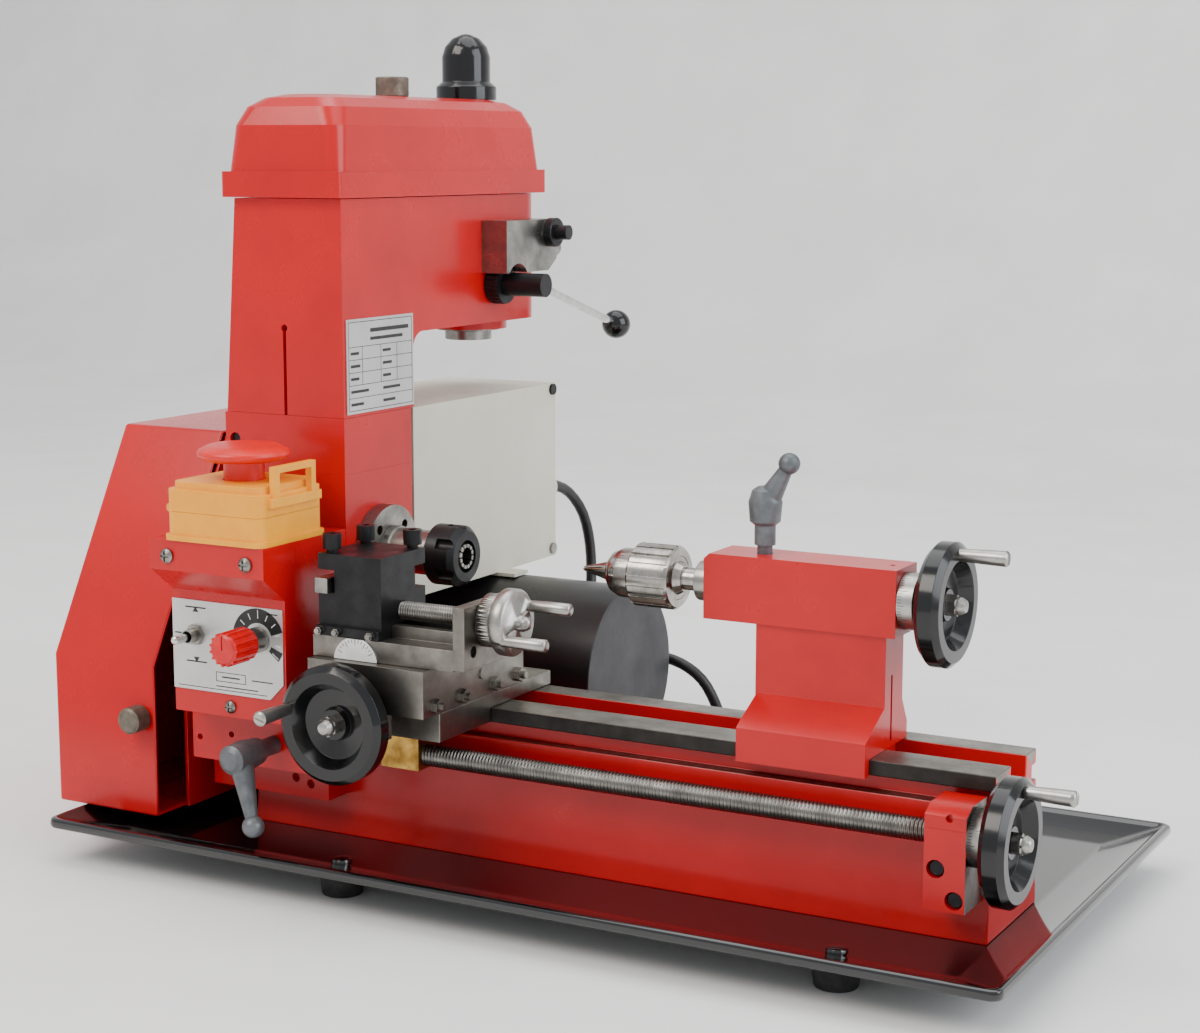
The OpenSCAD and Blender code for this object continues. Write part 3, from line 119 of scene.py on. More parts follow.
def dress(name, material, edge=0.4, angle=30):
    """Gives a CAD node its finish, and rounds its sharp edges by that many mm."""
    piece = nodes[name]
    piece.data.materials.clear()
    piece.data.materials.append(material)
    for face in piece.data.polygons:
        face.use_smooth = True
    weld = piece.modifiers.new("weld", "WELD")
    weld.merge_threshold = 0.01 * mm
    flat = piece.modifiers.new("flat", "DECIMATE")
    flat.decimate_type = "DISSOLVE"
    flat.angle_limit = math.radians(0.6)
    flat.delimit = {"MATERIAL"}
    bevel = piece.modifiers.new("edges", "BEVEL")
    bevel.width = edge * mm
    bevel.segments = 2
    bevel.limit_method = "ANGLE"
    bevel.angle_limit = math.radians(angle)
    normals = piece.modifiers.new("normals", "WEIGHTED_NORMAL")
    normals.keep_sharp = False
    return piece


# Flexible PVC: satin, IOR near 1.5, faintly rough from the extruder die.
cord_sheath = finish_of("cord_sheath_pvc", "#1d1d1f", "#121213", 9, (0.38, 0.5))
grain_on(cord_sheath, 0.6, 0.02)

cord_diameter = 7.0
gland = (-70, 210.5, 8)
cord_route = [
    gland, (-70, 218, 7), (-69, 236, 0), (-66, 250, -16), (-64, 256, -38), (-62, 254, -62),
    (-58, 244, -84), (-46, 228, -98), (-28, 214, -99), (-6, 206, -95), (14, 202, -94),
    (32, 201, -97), (46, 202, -106), (54, 205, -121), (57, 210, -138), (54, 216, -154),
    (42, 224, -166), (24, 232, -171), (0, 238, -171.4), (-30, 240, -171.4),
    (-60, 238, -171.4), (-84, 228, -171.4),
]
coil_centre = (-110, 267.5)
coil_outer = 47.6
coil_step = 7.2
coil_floor = -171.4
# Where each turn moves over: start in degrees of winding, step inwards, step up
coil_moves = [(360, -1, 0), (670, 0, 1), (980, 1, 0), (1290, 0, 1)]
move_length = 40
cord_tail = [(-84, 314, -157.6), (-66, 311.5, -161), (-50, 308.5, -165.4), (-36, 307, -166.5)]
for degrees in range(60, 1691, 15):
    radius, level = coil_outer, coil_floor
    for start, inward, upward in coil_moves:
        share = min(max((degrees - start) / move_length, 0), 1)
        share = share * share * (3 - 2 * share)
        radius += inward * share * coil_step
        level += upward * share * coil_step
    bearing = math.radians(-degrees - 20)
    cord_route.append((coil_centre[0] + radius * math.cos(bearing),
                       coil_centre[1] + radius * math.sin(bearing), level))
cord_route += cord_tail


def smooth_line(points, steps):
    """Points on one smooth curve through the given ones."""
    line = []
    padded = [points[0]] + list(points) + [points[-1]]
    for p0, p1, p2, p3 in zip(padded, padded[1:], padded[2:], padded[3:]):
        for k in range(steps):
            t = k / steps
            line.append([0.5 * (2 * b + (c - a) * t + (2 * a - 5 * b + 4 * c - d) * t * t
                                + (3 * b - a - 3 * c + d) * t ** 3)
                         for a, b, c, d in zip(p0, p1, p2, p3)])
    return line + [list(points[-1])]


cord_line = smooth_line(cord_route, 3)
cord_curve = bpy.data.curves.new("mains_lead", "CURVE")
cord_curve.dimensions = "3D"
cord_curve.bevel_depth = cord_diameter / 2 * mm
cord_curve.bevel_resolution = 3
cord_spline = cord_curve.splines.new("POLY")
cord_spline.points.add(len(cord_line) - 1)
for point, at in zip(cord_spline.points, cord_line):
    point.co = [c * mm for c in at] + [1]
cord_spline.use_smooth = True
cord_curve.materials.append(cord_sheath)
lead = bpy.data.objects.new("mains_lead", cord_curve)
bpy.context.scene.collection.objects.link(lead)
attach(lead, "frame")
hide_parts("mains_cord", "cord_coil")
dress("mains_plug", cord_sheath, 1.2)


# ---------------------------------------------------------------- shop floor and light
# A seamless pale floor that sweeps up into a wall, lit by large diffusers.
# Painted board: matt, nearly white, with faint scuffs.
floor_board = finish_of("floor_matt_paint", "#efeeec", "#e6e5e3", 160, (0.55, 0.75))
grain_on(floor_board, 1.5, 0.05)
ground = -175 * mm
sweep = [(-2.2, 0), (1.5, 0), (1.9, 0.05), (2.2, 0.25), (2.35, 0.6), (2.4, 2.6)]
floor_mesh = bpy.data.meshes.new("floor")
floor_points = [(x, y, ground + z) for x in (-4, 4) for y, z in sweep]
count = len(sweep)
floor_mesh.from_pydata(floor_points, [],
                       [(i, count + i, count + i + 1, i + 1) for i in range(count - 1)])
for face in floor_mesh.polygons:
    face.use_smooth = True
floor = bpy.data.objects.new("floor", floor_mesh)
bpy.context.scene.collection.objects.link(floor)
floor_mesh.materials.append(floor_board)

world = bpy.data.worlds.new("studio")
world.use_nodes = True
world.node_tree.nodes["Background"].inputs["Color"].default_value = linear("#eef1f5")
world.node_tree.nodes["Background"].inputs["Strength"].default_value = 0.95
bpy.context.scene.world = world
# Each diffuser: place, size across and down, power, tone
for name, at, size, power, tone in [
    ("key_diffuser", (-0.7, -1.5, 1.7), (1.6, 1.2), 42, "#fff8f0"),
    ("side_diffuser", (2.0, 0.1, 0.9), (1.5, 1.6), 34, "#f4f8ff"),
    ("top_diffuser", (0.1, 0.4, 2.2), (2.4, 1.8), 34, "#ffffff"),
]:
    light_data = bpy.data.lights.new(name, "AREA")
    light_data.shape = "RECTANGLE"
    light_data.size, light_data.size_y = size
    light_data.energy = power
    light_data.color = linear(tone)[:3]
    light = bpy.data.objects.new(name, light_data)
    light.location = at
    aim = Vector((0.05, 0.05, 0)) - Vector(at)
    light.rotation_euler = aim.to_track_quat("-Z", "Y").to_euler()
    bpy.context.scene.collection.objects.link(light)


# ---------------------------------------------------------------- chip tray and feet
# Pressed 2 mm steel tray with a flared flange and a rolled lip, dipped in gloss black
# enamel. Four bolts hold moulded nitrile feet under it.
tray_enamel = finish_of("tray_gloss_black_enamel", "#0b0b0c", "#050506", 120, (0.06, 0.14))
grain_on(tray_enamel, 22, 0.03)
tray_shader = tray_enamel.node_tree.nodes["Principled BSDF"]
tray_shader.inputs["Coat Weight"].default_value = 0.5
tray_shader.inputs["Coat Roughness"].default_value = 0.03


def rounded_loop(middle, width, depth, corner, height, steps=6):
    """Points in mm round a rectangle with rounded corners, at one height."""
    loop = []
    for k, (sx, sy) in enumerate([(1, 1), (-1, 1), (-1, -1), (1, -1)]):
        for i in range(steps + 1):
            turn = math.radians(90 * k + 90 * i / steps)
            loop.append((middle[0] + sx * (width / 2 - corner) + corner * math.cos(turn),
                         middle[1] + sy * (depth / 2 - corner) + corner * math.sin(turn), height))
    return loop


def loft_in(bm, loops, closed=False):
    """Skins a row of like loops in mm, and caps both ends unless the row closes."""
    rings = [[bm.verts.new([c * mm for c in point]) for point in loop] for loop in loops]
    if closed:
        rings.append(rings[0])
    for a, b in zip(rings, rings[1:]):
        for i in range(len(a)):
            j = (i + 1) % len(a)
            bm.faces.new((a[i], a[j], b[j], b[i]))
    if not closed:
        bm.faces.new(rings[0])
        bm.faces.new(rings[-1])


def piece_from(bm, name, body, material, crease=35):
    """Turns the mesh into a piece of its own that rides a body, with soft shading."""
    bmesh.ops.recalc_face_normals(bm, faces=bm.faces)
    mesh = bpy.data.meshes.new(name)
    bm.to_mesh(mesh)
    bm.free()
    for face in mesh.polygons:
        face.use_smooth = True
    mesh.set_sharp_from_angle(angle=math.radians(crease))
    mesh.materials.append(material)
    piece = bpy.data.objects.new(name, mesh)
    bpy.context.scene.collection.objects.link(piece)
    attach(piece, body)
    return piece


tray_middle = (71, 32.5)
# Distance in from the outer edge, height, corner radius
tray_section = [(28, -159.5, 3), (26, -159.3, 3), (4.4, -153.4, 5), (3.4, -154.6, 5), (1.6, -154.9, 5.5),
                (0.5, -154.2, 6), (0, -152.8, 6), (0, -151, 6), (0.4, -149.7, 6), (1.4, -149.05, 5.5),
                (2.6, -149, 5), (3.8, -149.4, 4.5), (5, -150.2, 4), (6.5, -151, 4), (29.5, -157.2, 3),
                (30.5, -157.4, 3), (32, -157.5, 3)]
bm = bmesh.new()
loft_in(bm, [rounded_loop(tray_middle, 558 - 2 * inset, 295 - 2 * inset, corner, z)
             for inset, z, corner in tray_section])
tray = piece_from(bm, "tray", "frame", tray_enamel, 30)
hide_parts("chip_tray")

axes = {"x": (1, 0, 0), "-x": (-1, 0, 0), "y": (0, 1, 0), "-y": (0, -1, 0), "z": (0, 0, 1)}


def turned_in(bm, at, axis, outline, steps=48, ripple=None):
    """A turned shape in mm: outline is [distance along the axis, radius], and ripple
    changes a radius by angle and distance, for knurls and flutes."""
    along = Vector(axes[axis])
    side = Vector((0, 0, 1)) if axis != "z" else Vector((1, 0, 0))
    other = along.cross(side)
    rings = []
    for distance, radius in outline:
        centre = Vector(at) + along * distance
        if radius < 1e-6:
            rings.append([bm.verts.new(centre * mm)])
            continue
        ring = []
        for i in range(steps):
            turn = 2 * math.pi * i / steps
            size = radius + (ripple(turn, distance) if ripple else 0)
            out = side * math.cos(turn) + other * math.sin(turn)
            ring.append(bm.verts.new((centre + out * size) * mm))
        rings.append(ring)
    for a, b in zip(rings, rings[1:]):
        for i in range(steps):
            j = (i + 1) % steps
            corners = [a[i % len(a)], a[j % len(a)], b[j % len(b)], b[i % len(b)]]
            corners = [c for k, c in enumerate(corners) if c not in corners[:k]]
            if len(corners) > 2:
                bm.faces.new(corners)


bolt_floor = -158.4
bolt_head = [(0, 0), (0, 5.6), (1.6, 5.6), (2.6, 5), (3.2, 3.4), (3.4, 0)]
bm = bmesh.new()
for x in (-32, 256):
    for y in (-78, 138):
        turned_in(bm, (x, y, bolt_floor), "z", bolt_head, 24)
piece_from(bm, "tray_bolts", "frame", tray_enamel)
# Nitrile: dull charcoal, dusty, roughness near 0.8.
foot_rubber = finish_of("foot_nitrile_rubber", "#2b2a2a", "#1b1b1c", 6, (0.7, 0.9))
grain_on(foot_rubber, 0.8, 0.04)
dress("rubber_feet", foot_rubber, 1.0)


# ---------------------------------------------------------------- bed and headstock castings
# Grey iron, filled and sprayed with two-pack red enamel over a scraped skin, so the
# gloss is deep and slightly wavy. The ways are left bare and surface ground.
red_enamel = finish_of("gloss_red_enamel_on_cast_iron", "#c4000a", "#b00007", 60, (0.26, 0.34))
grain_on(red_enamel, 9, 0.02, detail=0.0)
red_shader = red_enamel.node_tree.nodes["Principled BSDF"]
red_shader.inputs["Specular IOR Level"].default_value = 0.35
red_shader.inputs["Coat Weight"].default_value = 0.15
red_shader.inputs["Coat Roughness"].default_value = 0.12
# Ground steel: fine lines along the stroke of the wheel, drawn 0.5 mm apart to show.
ground_steel = finish_of("ground_steel", "#a3a19b", "#76746f", 14, (0.24, 0.38), 1.0)
grain_on(ground_steel, 0.5, 0.012, (0.04, 1, 1))
# Bare cast iron of the ways, browned by oil.
ground_ways = finish_of("ground_iron_ways", "#8b867d", "#5a554d", 30, (0.25, 0.42), 1.0)
grain_on(ground_ways, 0.6, 0.02, (0.03, 1, 1))


def paint_faces(name, material, test):
    """Gives the faces of a CAD node that pass the test, from their middle in mm and
    their normal, another finish."""
    mesh = nodes[name].data
    mesh.materials.append(material)
    for face in mesh.polygons:
        if test(face.center / mm, face.normal):
            face.material_index = len(mesh.materials) - 1


dress("bed", red_enamel, 0.8)
way_top = -75
ledge_top = way_top - 8
paint_faces("bed", ground_ways, lambda at, n: at.z > ledge_top - 8.5 and (n.z > 0.9 or at.z > way_top - 5))
# The upright faces between way and ledge are painted a dark brown, dull finish, darker than the ground
# ways above and below them.
dark_step_iron = finish_of("dark_way_step_iron", "#2b2723", "#1b1815", 12, (0.4, 0.6), 0.5)
grain_on(dark_step_iron, 1.2, 0.03)
outer_face = 20
paint_faces("bed", dark_step_iron, lambda at, n: (ledge_top - 0.1 < at.z < way_top - 0.1
                                              and abs(n.y) > 0.9 and abs(at.y) > outer_face))
for name in ["headstock", "feed_block", "back_plate", "lead_bracket"]:
    dress(name, red_enamel, 0.9)
paint_faces("lead_bracket", ground_steel, lambda at, n: n.x > 0.9 and at.x > 312)
dress("column_post", ground_steel, 0.4)
dress("bearings", ground_steel, 0.4)


# ---------------------------------------------------------------- sheet metal covers
# Belt guard and control box folded from 2 mm sheet, spot welded and sprayed the same
# red; the thin sheet shows longer waves than the castings.
sheet_enamel = finish_of("gloss_red_enamel_on_sheet", "#c4000a", "#b20008", 90, (0.24, 0.32))
grain_on(sheet_enamel, 22, 0.03, detail=0.0)
sheet_shader = sheet_enamel.node_tree.nodes["Principled BSDF"]
sheet_shader.inputs["Specular IOR Level"].default_value = 0.35
sheet_shader.inputs["Coat Weight"].default_value = 0.15
sheet_shader.inputs["Coat Roughness"].default_value = 0.12
dress("belt_guard", sheet_enamel, 1.4)
dress("control_box", sheet_enamel, 1.0)
# Phosphated steel of the knurled thumb screws: dull grey-brown, slightly oily.
phosphated = finish_of("phosphated_steel", "#7b7265", "#5a5248", 6, (0.45, 0.6), 0.6)
grain_on(phosphated, 0.6, 0.03)


def knurl(teeth, height, slope):
    """A straight or crossed knurl: the radius rises and falls that many times round."""
    def ripple(turn, distance):
        return height * max(math.cos(teeth * turn + slope * distance),
                            math.cos(teeth * turn - slope * distance))
    return ripple


def knurled_outline(length, radius, steps=14):
    """The outline of a knurled band with turned-down ends."""
    band = [(0.4 + (length - 0.8) * i / steps, radius) for i in range(steps + 1)]
    return [(0, 0), (0, radius - 0.8)] + band + [(length, radius - 0.8), (length, 0)]


dress("frame_screws", ground_steel, 0.25)
paint_faces("frame_screws", phosphated, lambda at, n: at.x < -150)
# Blackened socket screws of the right-hand bracket and the top block.
black_screws = finish_of("blackened_socket_screw", "#1d1d20", "#101012", 4, (0.3, 0.45), 0.5)
grain_on(black_screws, 0.5, 0.01)
paint_faces("frame_screws", black_screws, lambda at, n: at.x > 290 or (at.x > -140 and at.z > 40))
bm = bmesh.new()
turned_in(bm, (-162, -96.4, -92), "y", knurled_outline(10.6, 7.25), 96, knurl(24, 0.22, 1.6))
piece_from(bm, "guard_thumb_screw_knurl", "frame", phosphated)


# ---------------------------------------------------------------- control panel
# Brushed aluminium foil plate with a black printed speed dial, a chromed toggle
# switch and a fluted knob of clear red acrylic on a steel collar.
panel_foil = finish_of("brushed_aluminium_foil", "#cdcdcb", "#bdbdbb", 30, (0.3, 0.4), 0.7)
grain_on(panel_foil, 0.5, 0.006, (0.05, 1, 1))
printing = finish_of("black_screen_print", "#161617", "#0e0e0f", 4, (0.35, 0.45))
chromed_steel = finish_of("chromed_steel", "#d9d9d8", "#b4b4b3", 8, (0.08, 0.2), 1.0)
grain_on(chromed_steel, 2, 0.01)
acrylic = finish_of("clear_red_acrylic", "#cf0410", "#b8020b", 6, (0.15, 0.26))
dress("control_panel", panel_foil, 0.2)
dress("toggle_lever", chromed_steel, 0.2)
dress("speed_knob", acrylic, 0.3)
paint_faces("speed_knob", ground_steel, lambda at, n: at.y > -102.6)


def block_in(bm, low, high, cut=0.0):
    """A block in mm between two corners, with its edges cut back."""
    made = bmesh.ops.create_cube(bm, size=1)["verts"]
    for vertex in made:
        vertex.co = Vector([(low[i] + high[i]) / 2 + vertex.co[i] * (high[i] - low[i])
                            for i in range(3)]) * mm
    if cut:
        edges = list({edge for vertex in made for edge in vertex.link_edges})
        bmesh.ops.bevel(bm, geom=edges, offset=cut * mm, segments=2, affect="EDGES")


def plate_in(bm, corners, axis, low, high):
    """A thin plate from a flat outline in mm, drawn along the x or y axis."""
    def place(corner, level):
        u, v = corner
        return (level, u, v) if axis == "x" else (u, level, v)
    loft_in(bm, [[place(corner, level) for corner in corners] for level in (low, high)])


panel_front = -90.8
dial_middle = (-75, -37.5)
bm = bmesh.new()
# Dark sector of the speed dial, open at the bottom
sector = [math.radians(-40 + 260 * i / 40) for i in range(41)]
outer = [(dial_middle[0] + 17 * math.cos(t), dial_middle[1] + 17 * math.sin(t)) for t in sector]
inner = [(dial_middle[0] + 9 * math.cos(t), dial_middle[1] + 9 * math.sin(t)) for t in sector]
print_back, print_face = panel_front + 0.02, panel_front - 0.08
panel_edge = -59.4
for i in range(40):
    if outer[i + 1][0] < panel_edge or outer[i][0] < panel_edge:
        plate_in(bm, [inner[i], outer[i], outer[i + 1], inner[i + 1]], "y", print_face, print_back)
# Frames, rules and arrows below and beside the switches
for x0, z0, x1, z1 in [(-130, -68.2, -70, -67.8), (-104, -63.5, -84, -63.1), (-104, -58.5, -84, -58.1),
                       (-104, -63.5, -103.6, -58.1), (-84.4, -63.5, -84, -58.1),
                       (-80, -61, -66, -60.4), (-124, -24.4, -110, -23.6), (-124, -54.4, -110, -53.6),
                       (-131.5, -39.4, -127, -38.6), (-100, -61.2, -88, -60.4),
                       (-104, -66.4, -76, -65.8), (-69, -23.4, -62, -22.7)]:
    block_in(bm, (x0, print_face, z0), (x1, print_back, z1))
for z, s in [(-26.5, 1), (-51.5, -1)]:
    plate_in(bm, [(-119, z), (-115, z), (-117, z + 3 * s)], "y", print_face, print_back)
piece_from(bm, "panel_print", "frame", printing)
dial_white = finish_of("white_screen_print", "#f2f2f0", "#e6e6e4", 4, (0.4, 0.5))
bm = bmesh.new()
for i in range(11):
    t = math.radians(-36 + 25.2 * i)
    u = Vector((math.cos(t), math.sin(t)))
    side = Vector((-u.y, u.x)) * 0.22
    far = 16.2 if i % 5 == 0 else 15
    near_end, far_end = Vector(dial_middle) + u * 11.5, Vector(dial_middle) + u * far
    if far_end.x < panel_edge - 0.2:
        plate_in(bm, [near_end - side, far_end - side, far_end + side, near_end + side], "y",
                 print_face - 0.06, print_face + 0.03)
piece_from(bm, "panel_dial_ticks", "frame", dial_white)


# ---------------------------------------------------------------- stop switch
# Moulded ABS enclosure in signal yellow with a hinged lid and a red mushroom cap.
switch_plastic = finish_of("signal_yellow_abs", "#f5a400", "#ea9700", 15, (0.36, 0.46))
grain_on(switch_plastic, 0.8, 0.02)
cap_plastic = finish_of("signal_red_abs", "#dc0a04", "#cc0603", 12, (0.3, 0.4))
grain_on(cap_plastic, 0.8, 0.015)
dress("stop_switch_base", switch_plastic, 0.9)
dress("stop_switch_lid", switch_plastic, 0.9)
dress("stop_button", cap_plastic, 1.2)


# ---------------------------------------------------------------- electronics box and motor
# Folded steel box, powder coated in a warm light grey with a fine orange peel.
box_powder = finish_of("grey_powder_coat", "#d3d0bf", "#c8c5b3", 70, (0.42, 0.52))
grain_on(box_powder, 1.4, 0.03)
dress("electronics_box", box_powder, 1.0)
# Motor shell: rolled steel tube in satin black stove enamel; its end bell is greyer.
motor_enamel = finish_of("satin_black_stove_enamel", "#141416", "#0c0c0e", 40, (0.26, 0.4))
grain_on(motor_enamel, 2.2, 0.03)
end_bell = finish_of("dark_grey_end_bell", "#2e2e31", "#242427", 25, (0.42, 0.55))
grain_on(end_bell, 1.6, 0.03)
dress("motor", motor_enamel, 1.6)
paint_faces("motor", end_bell, lambda at, n: n.x > 0.9)
dress("motor_rotor", ground_steel, 0.3)
# Neoprene belts: matt black, faintly ribbed by the fabric.
belt_rubber = finish_of("toothed_belt_neoprene", "#222223", "#161617", 5, (0.6, 0.8))
grain_on(belt_rubber, 0.5, 0.03)
dress("drive_belt", belt_rubber, 0.3)
dress("head_belt", belt_rubber, 0.3)


# ---------------------------------------------------------------- lathe spindle and collet chuck
# Turned and ground steel; the closing nut is milled with six flutes and blackened.
black_oxide = finish_of("black_oxide_steel", "#1f1f22", "#111113", 10, (0.3, 0.46), 0.5)
grain_on(black_oxide, 0.7, 0.015)
for name in ["spindle", "collet_chuck", "collet", "drive_shaft",
             "mill_pulley", "mill_quill", "mill_spindle"]:
    dress(name, ground_steel, 0.3)
dress("collet_nut", black_oxide, 0.6)


# ---------------------------------------------------------------- mill head
# Red enamelled casting and pressed cover, with an etched data plate of plain rules,
# a knurled nut and a glossy black cap on top.
dress("head_casting", red_enamel, 1.2)
dress("head_cover", sheet_enamel, 2.4, 12)
cap_bakelite = finish_of("glossy_black_phenolic_cap", "#0d0d0f", "#070708", 20, (0.1, 0.18))
grain_on(cap_bakelite, 6, 0.02)
dress("cover_fittings", phosphated, 0.4)
paint_faces("cover_fittings", cap_bakelite, lambda at, n: at.y > 120)
bm = bmesh.new()
turned_in(bm, (-98, 78.5, 252.2), "z", knurled_outline(10.8, 9.5), 120, knurl(30, 0.22, 1.8))
piece_from(bm, "cover_nut_knurl", "head", phosphated)
dress("data_plate", panel_foil, 0.15)
bm = bmesh.new()
plate_x = -56.7
# Each rule: low y, low z, high y, high z
rules = [(-29, 79.5, -28.6, 128.5), (33.1, 79.5, 33.5, 128.5),
         (-29, 79.5, 33.5, 79.9), (-29, 128.1, 33.5, 128.5)]
rules += [(-29, z, 33.5, z + 0.35) for z in (86.5, 93.5, 100.5, 107.5, 114.5)]
rules += [(y, 93.5, y + 0.35, 114.5) for y in (-16, 2, 18)]
rules += [(-27 + 31 * k, z, -27 + 31 * k + wide, z + 1.6) for k in (0, 1) for z, wide in
          [(82.4, 12), (89.4, 17), (96.4, 8), (103.4, 9), (110.4, 8)]]
rules += [(-8, 122, 30, 124.2), (-8, 117.6, 24, 119.4)]
for y0, z0, y1, z1 in rules:
    block_in(bm, (plate_x - 0.02, y0, z0), (plate_x + 0.06, y1, z1))
piece_from(bm, "data_plate_rules", "head", printing)
dress("depth_bracket", ground_steel, 0.4)
paint_faces("depth_bracket", black_oxide, lambda at, n: at.x > -39.5)


# ---------------------------------------------------------------- quill feed lever
# Chromed rod screwed into a blackened hub with a knurled collar; phenolic ball.
dress("quill_lever", chromed_steel, 0.3)
lever_ball = Vector((-26, 221.3, 112.6))
hub_y, hub_z = 124.3, 142.0
paint_faces("quill_lever", cap_bakelite, lambda at, n: (at - lever_ball).length < 9.2)
paint_faces("quill_lever", black_oxide,
            lambda at, n: math.hypot(at.y - hub_y, at.z - hub_z) < 12 and (at - lever_ball).length > 20)
bm = bmesh.new()
turned_in(bm, (-56.9, hub_y, hub_z), "x", knurled_outline(8.4, 11.6), 112, knurl(28, 0.3, 0))
piece_from(bm, "feed_collar_knurl", "down_feed", black_oxide)


# ---------------------------------------------------------------- lead and slide screws
# Rolled trapezoidal threads, with satin turned dials engraved in black, crank
# handles and acorn nuts. Black enamelled dished handwheels.
def thread_in(bm, at, length, crest, depth, pitch, around=20, per_turn=6):
    """A thread along +X: the skin of the rod sinks and rises once for each pitch."""
    rings = []
    for i in range(int(length / pitch * per_turn) + 1):
        along = i * pitch / per_turn
        ring = []
        for j in range(around):
            phase = (along / pitch - j / around) % 1
            sunk = min(max((abs(phase - 0.5) * -1 + 0.36) / 0.16, 0), 1)
            size = crest - depth * sunk
            turn = 2 * math.pi * j / around
            ring.append((at[0] + along, at[1] + size * math.cos(turn), at[2] + size * math.sin(turn)))
        rings.append(ring)
    loft_in(bm, rings)


def kept_from(name, test):
    """The mesh of a CAD node, less the faces that fail the test, which is given each
    face's middle in mm."""
    bm = bmesh.new()
    bm.from_mesh(nodes[name].data)
    bmesh.ops.remove_doubles(bm, verts=bm.verts, dist=0.01 * mm)
    cut = [face for face in bm.faces if not test(face.calc_center_median() / mm)]
    bmesh.ops.delete(bm, geom=cut, context="FACES")
    return bm


thread_steel = finish_of("rolled_thread_steel", "#8f8c86", "#67645f", 12, (0.26, 0.38), 1.0)
bm = bmesh.new()
thread_in(bm, (-57.4, -47.5, -101), 348.9, 6.0, 0.9, 2.0, 18)
piece_from(bm, "leadscrew_thread", "lead_drive", thread_steel, 60)
bm = kept_from("leadscrew", lambda at: at.x > 291.4 or at.x < -57.6)
# Turned on the lathe and polished with cloth: satin, faint rings.
satin_steel = finish_of("satin_turned_steel", "#b4b2ad", "#94918b", 9, (0.28, 0.4), 1.0)
grain_on(satin_steel, 0.5, 0.008)
ends = piece_from(bm, "leadscrew_ends", "lead_drive", satin_steel, 30)
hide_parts("leadscrew")
bm = bmesh.new()
thread_in(bm, (-32.9, -67, -17.9), 80.1, 5.0, 0.6, 1.5, 18)
piece_from(bm, "top_screw_thread", "top_drive", thread_steel, 60)
bm = kept_from("top_screw", lambda at: at.x > 47.3)
ends = piece_from(bm, "top_screw_ends", "top_drive", satin_steel, 30)
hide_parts("top_screw")
dress("cross_screw", satin_steel, 0.25)
dress("tail_screw", satin_steel, 0.25)
wheel_enamel = finish_of("gloss_black_wheel_enamel", "#0f0f11", "#070708", 20, (0.1, 0.2))
grain_on(wheel_enamel, 5, 0.03)
for name in ["lead_wheel", "cross_wheel", "tail_wheel"]:
    dress(name, wheel_enamel, 0.8)


def dial_ticks(name, body, at, axis, radius, width, count):
    """Engraved lines round a dial, filled with black paint."""
    along = Vector(axes[axis])
    side = Vector((0, 0, 1))
    other = along.cross(side)
    half_line = 0.14
    bm = bmesh.new()
    for i in range(count):
        turn = 2 * math.pi * i / count
        out = side * math.cos(turn) + other * math.sin(turn)
        across = along.cross(out)
        deep = width * (0.75 if i % 10 == 0 else 0.55 if i % 5 == 0 else 0.35)
        outline = [(0.3, -half_line), (deep, -half_line), (deep, half_line), (0.3, half_line)]
        loft_in(bm, [[Vector(at) + along * a + across * b + out * level for a, b in outline]
                     for level in (radius - 0.2, radius + 0.04)])
    piece_from(bm, name, body, printing)


dial_ticks("lead_dial_ticks", "lead_drive", (313.4, -47.5, -101), "x", 14.2, 8, 60)
dial_ticks("tail_dial_ticks", "tail_drive", (257.8, 0, 0), "x", 14.5, 7, 60)
dial_ticks("top_dial_ticks", "top_drive", (55.4, -67, -17.9), "x", 14, 8, 50)
dial_ticks("cross_dial_ticks", "cross_drive", (-11.6, -97.9, -71.7), "-y", 12, 5, 50)


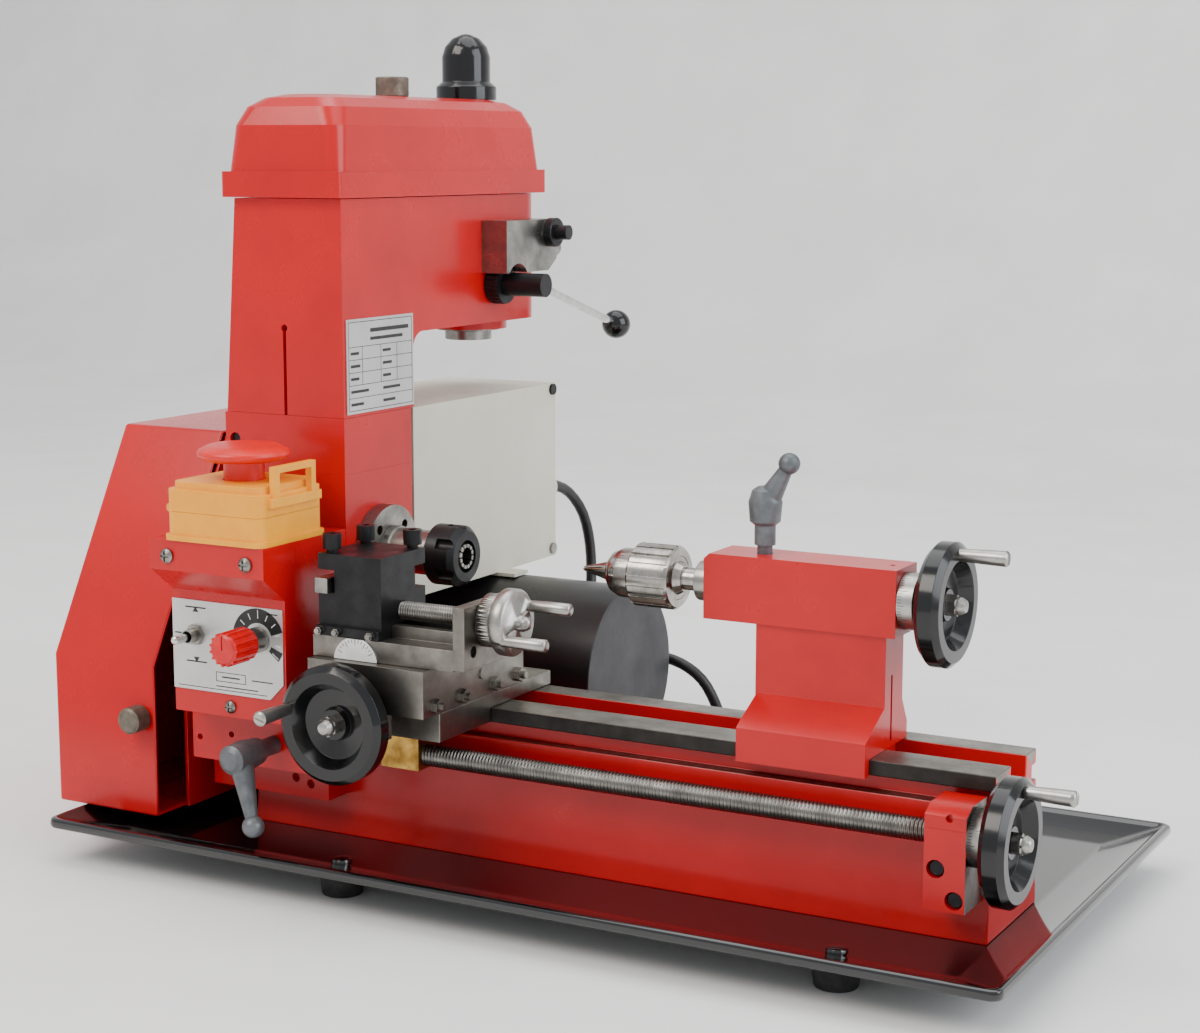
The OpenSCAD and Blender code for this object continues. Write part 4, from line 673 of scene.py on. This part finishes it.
# ---------------------------------------------------------------- carriage and slides
# Saddle and slides of grey iron, milled and ground on every face; brass half nut,
# blackened square tool post with socket screws, and a high-speed steel bit.
slide_iron = finish_of("ground_cast_iron", "#8e8a83", "#696560", 18, (0.28, 0.42), 1.0)
grain_on(slide_iron, 0.6, 0.018, (1, 0.05, 1))
for name in ["saddle", "cross_slide", "compound_base"]:
    dress(name, slide_iron, 0.4)
nut_brass = finish_of("nut_brass", "#bf9850", "#86642e", 9, (0.25, 0.42), 1.0)
grain_on(nut_brass, 0.6, 0.02)
dress("brass_nut", nut_brass, 0.5)
dress("tool_post", black_oxide, 0.6)
# The ends and nuts of its gib screws are bright.
paint_faces("tool_post", ground_steel, lambda at, n: at.y < -91.05)
dress("tool_bit", ground_steel, 0.3)
scale_enamel = finish_of("white_scale_enamel", "#eeeeea", "#dededa", 8, (0.3, 0.4))
paint_faces("compound_base", scale_enamel, lambda at, n: n.y < -0.9 and at.y < -91.6)
bm = bmesh.new()
scale_pivot = Vector((-11.5, -92.02, -43.2))
for i in range(13):
    turn = math.radians(30 + 10 * i)
    out = Vector((math.cos(turn), 0, math.sin(turn)))
    across = Vector((-out.z, 0, out.x))
    low, high = (9.6 if i % 3 == 0 else 11), 12.6
    loft_in(bm, [[scale_pivot + out * a + across * b + Vector((0, depth, 0)) for a, b in
                  [(low, -0.13), (high, -0.13), (high, 0.13), (low, 0.13)]] for depth in (-0.12, 0.1)])
piece_from(bm, "angle_scale_ticks", "swivel", printing)


# ---------------------------------------------------------------- clamp levers
# Ratchet levers die cast in zinc and left a dull blue-grey, tumbled so that the
# corners shine a little.
lever_grey = finish_of("grey_die_cast_zinc", "#6a6e71", "#505457", 8, (0.36, 0.5), 0.4)
grain_on(lever_grey, 0.9, 0.03)
dress("feed_lever", lever_grey, 0.5)
dress("tail_lever", lever_grey, 0.5)


# ---------------------------------------------------------------- tailstock and drill chuck
# Enamelled casting with a ground quill; the keyed chuck is hardened steel with a
# fluted sleeve.
dress("tailstock", red_enamel, 1.2)
dress("tail_quill", ground_steel, 0.4)
chuck_steel = finish_of("polished_chuck_steel", "#b9b6b0", "#8a8680", 9, (0.14, 0.28), 1.0)
grain_on(chuck_steel, 0.6, 0.01, (1, 1, 1))
for name in ["drill_chuck", "chuck_sleeve", "chuck_jaws"]:
    dress(name, chuck_steel, 0.25)
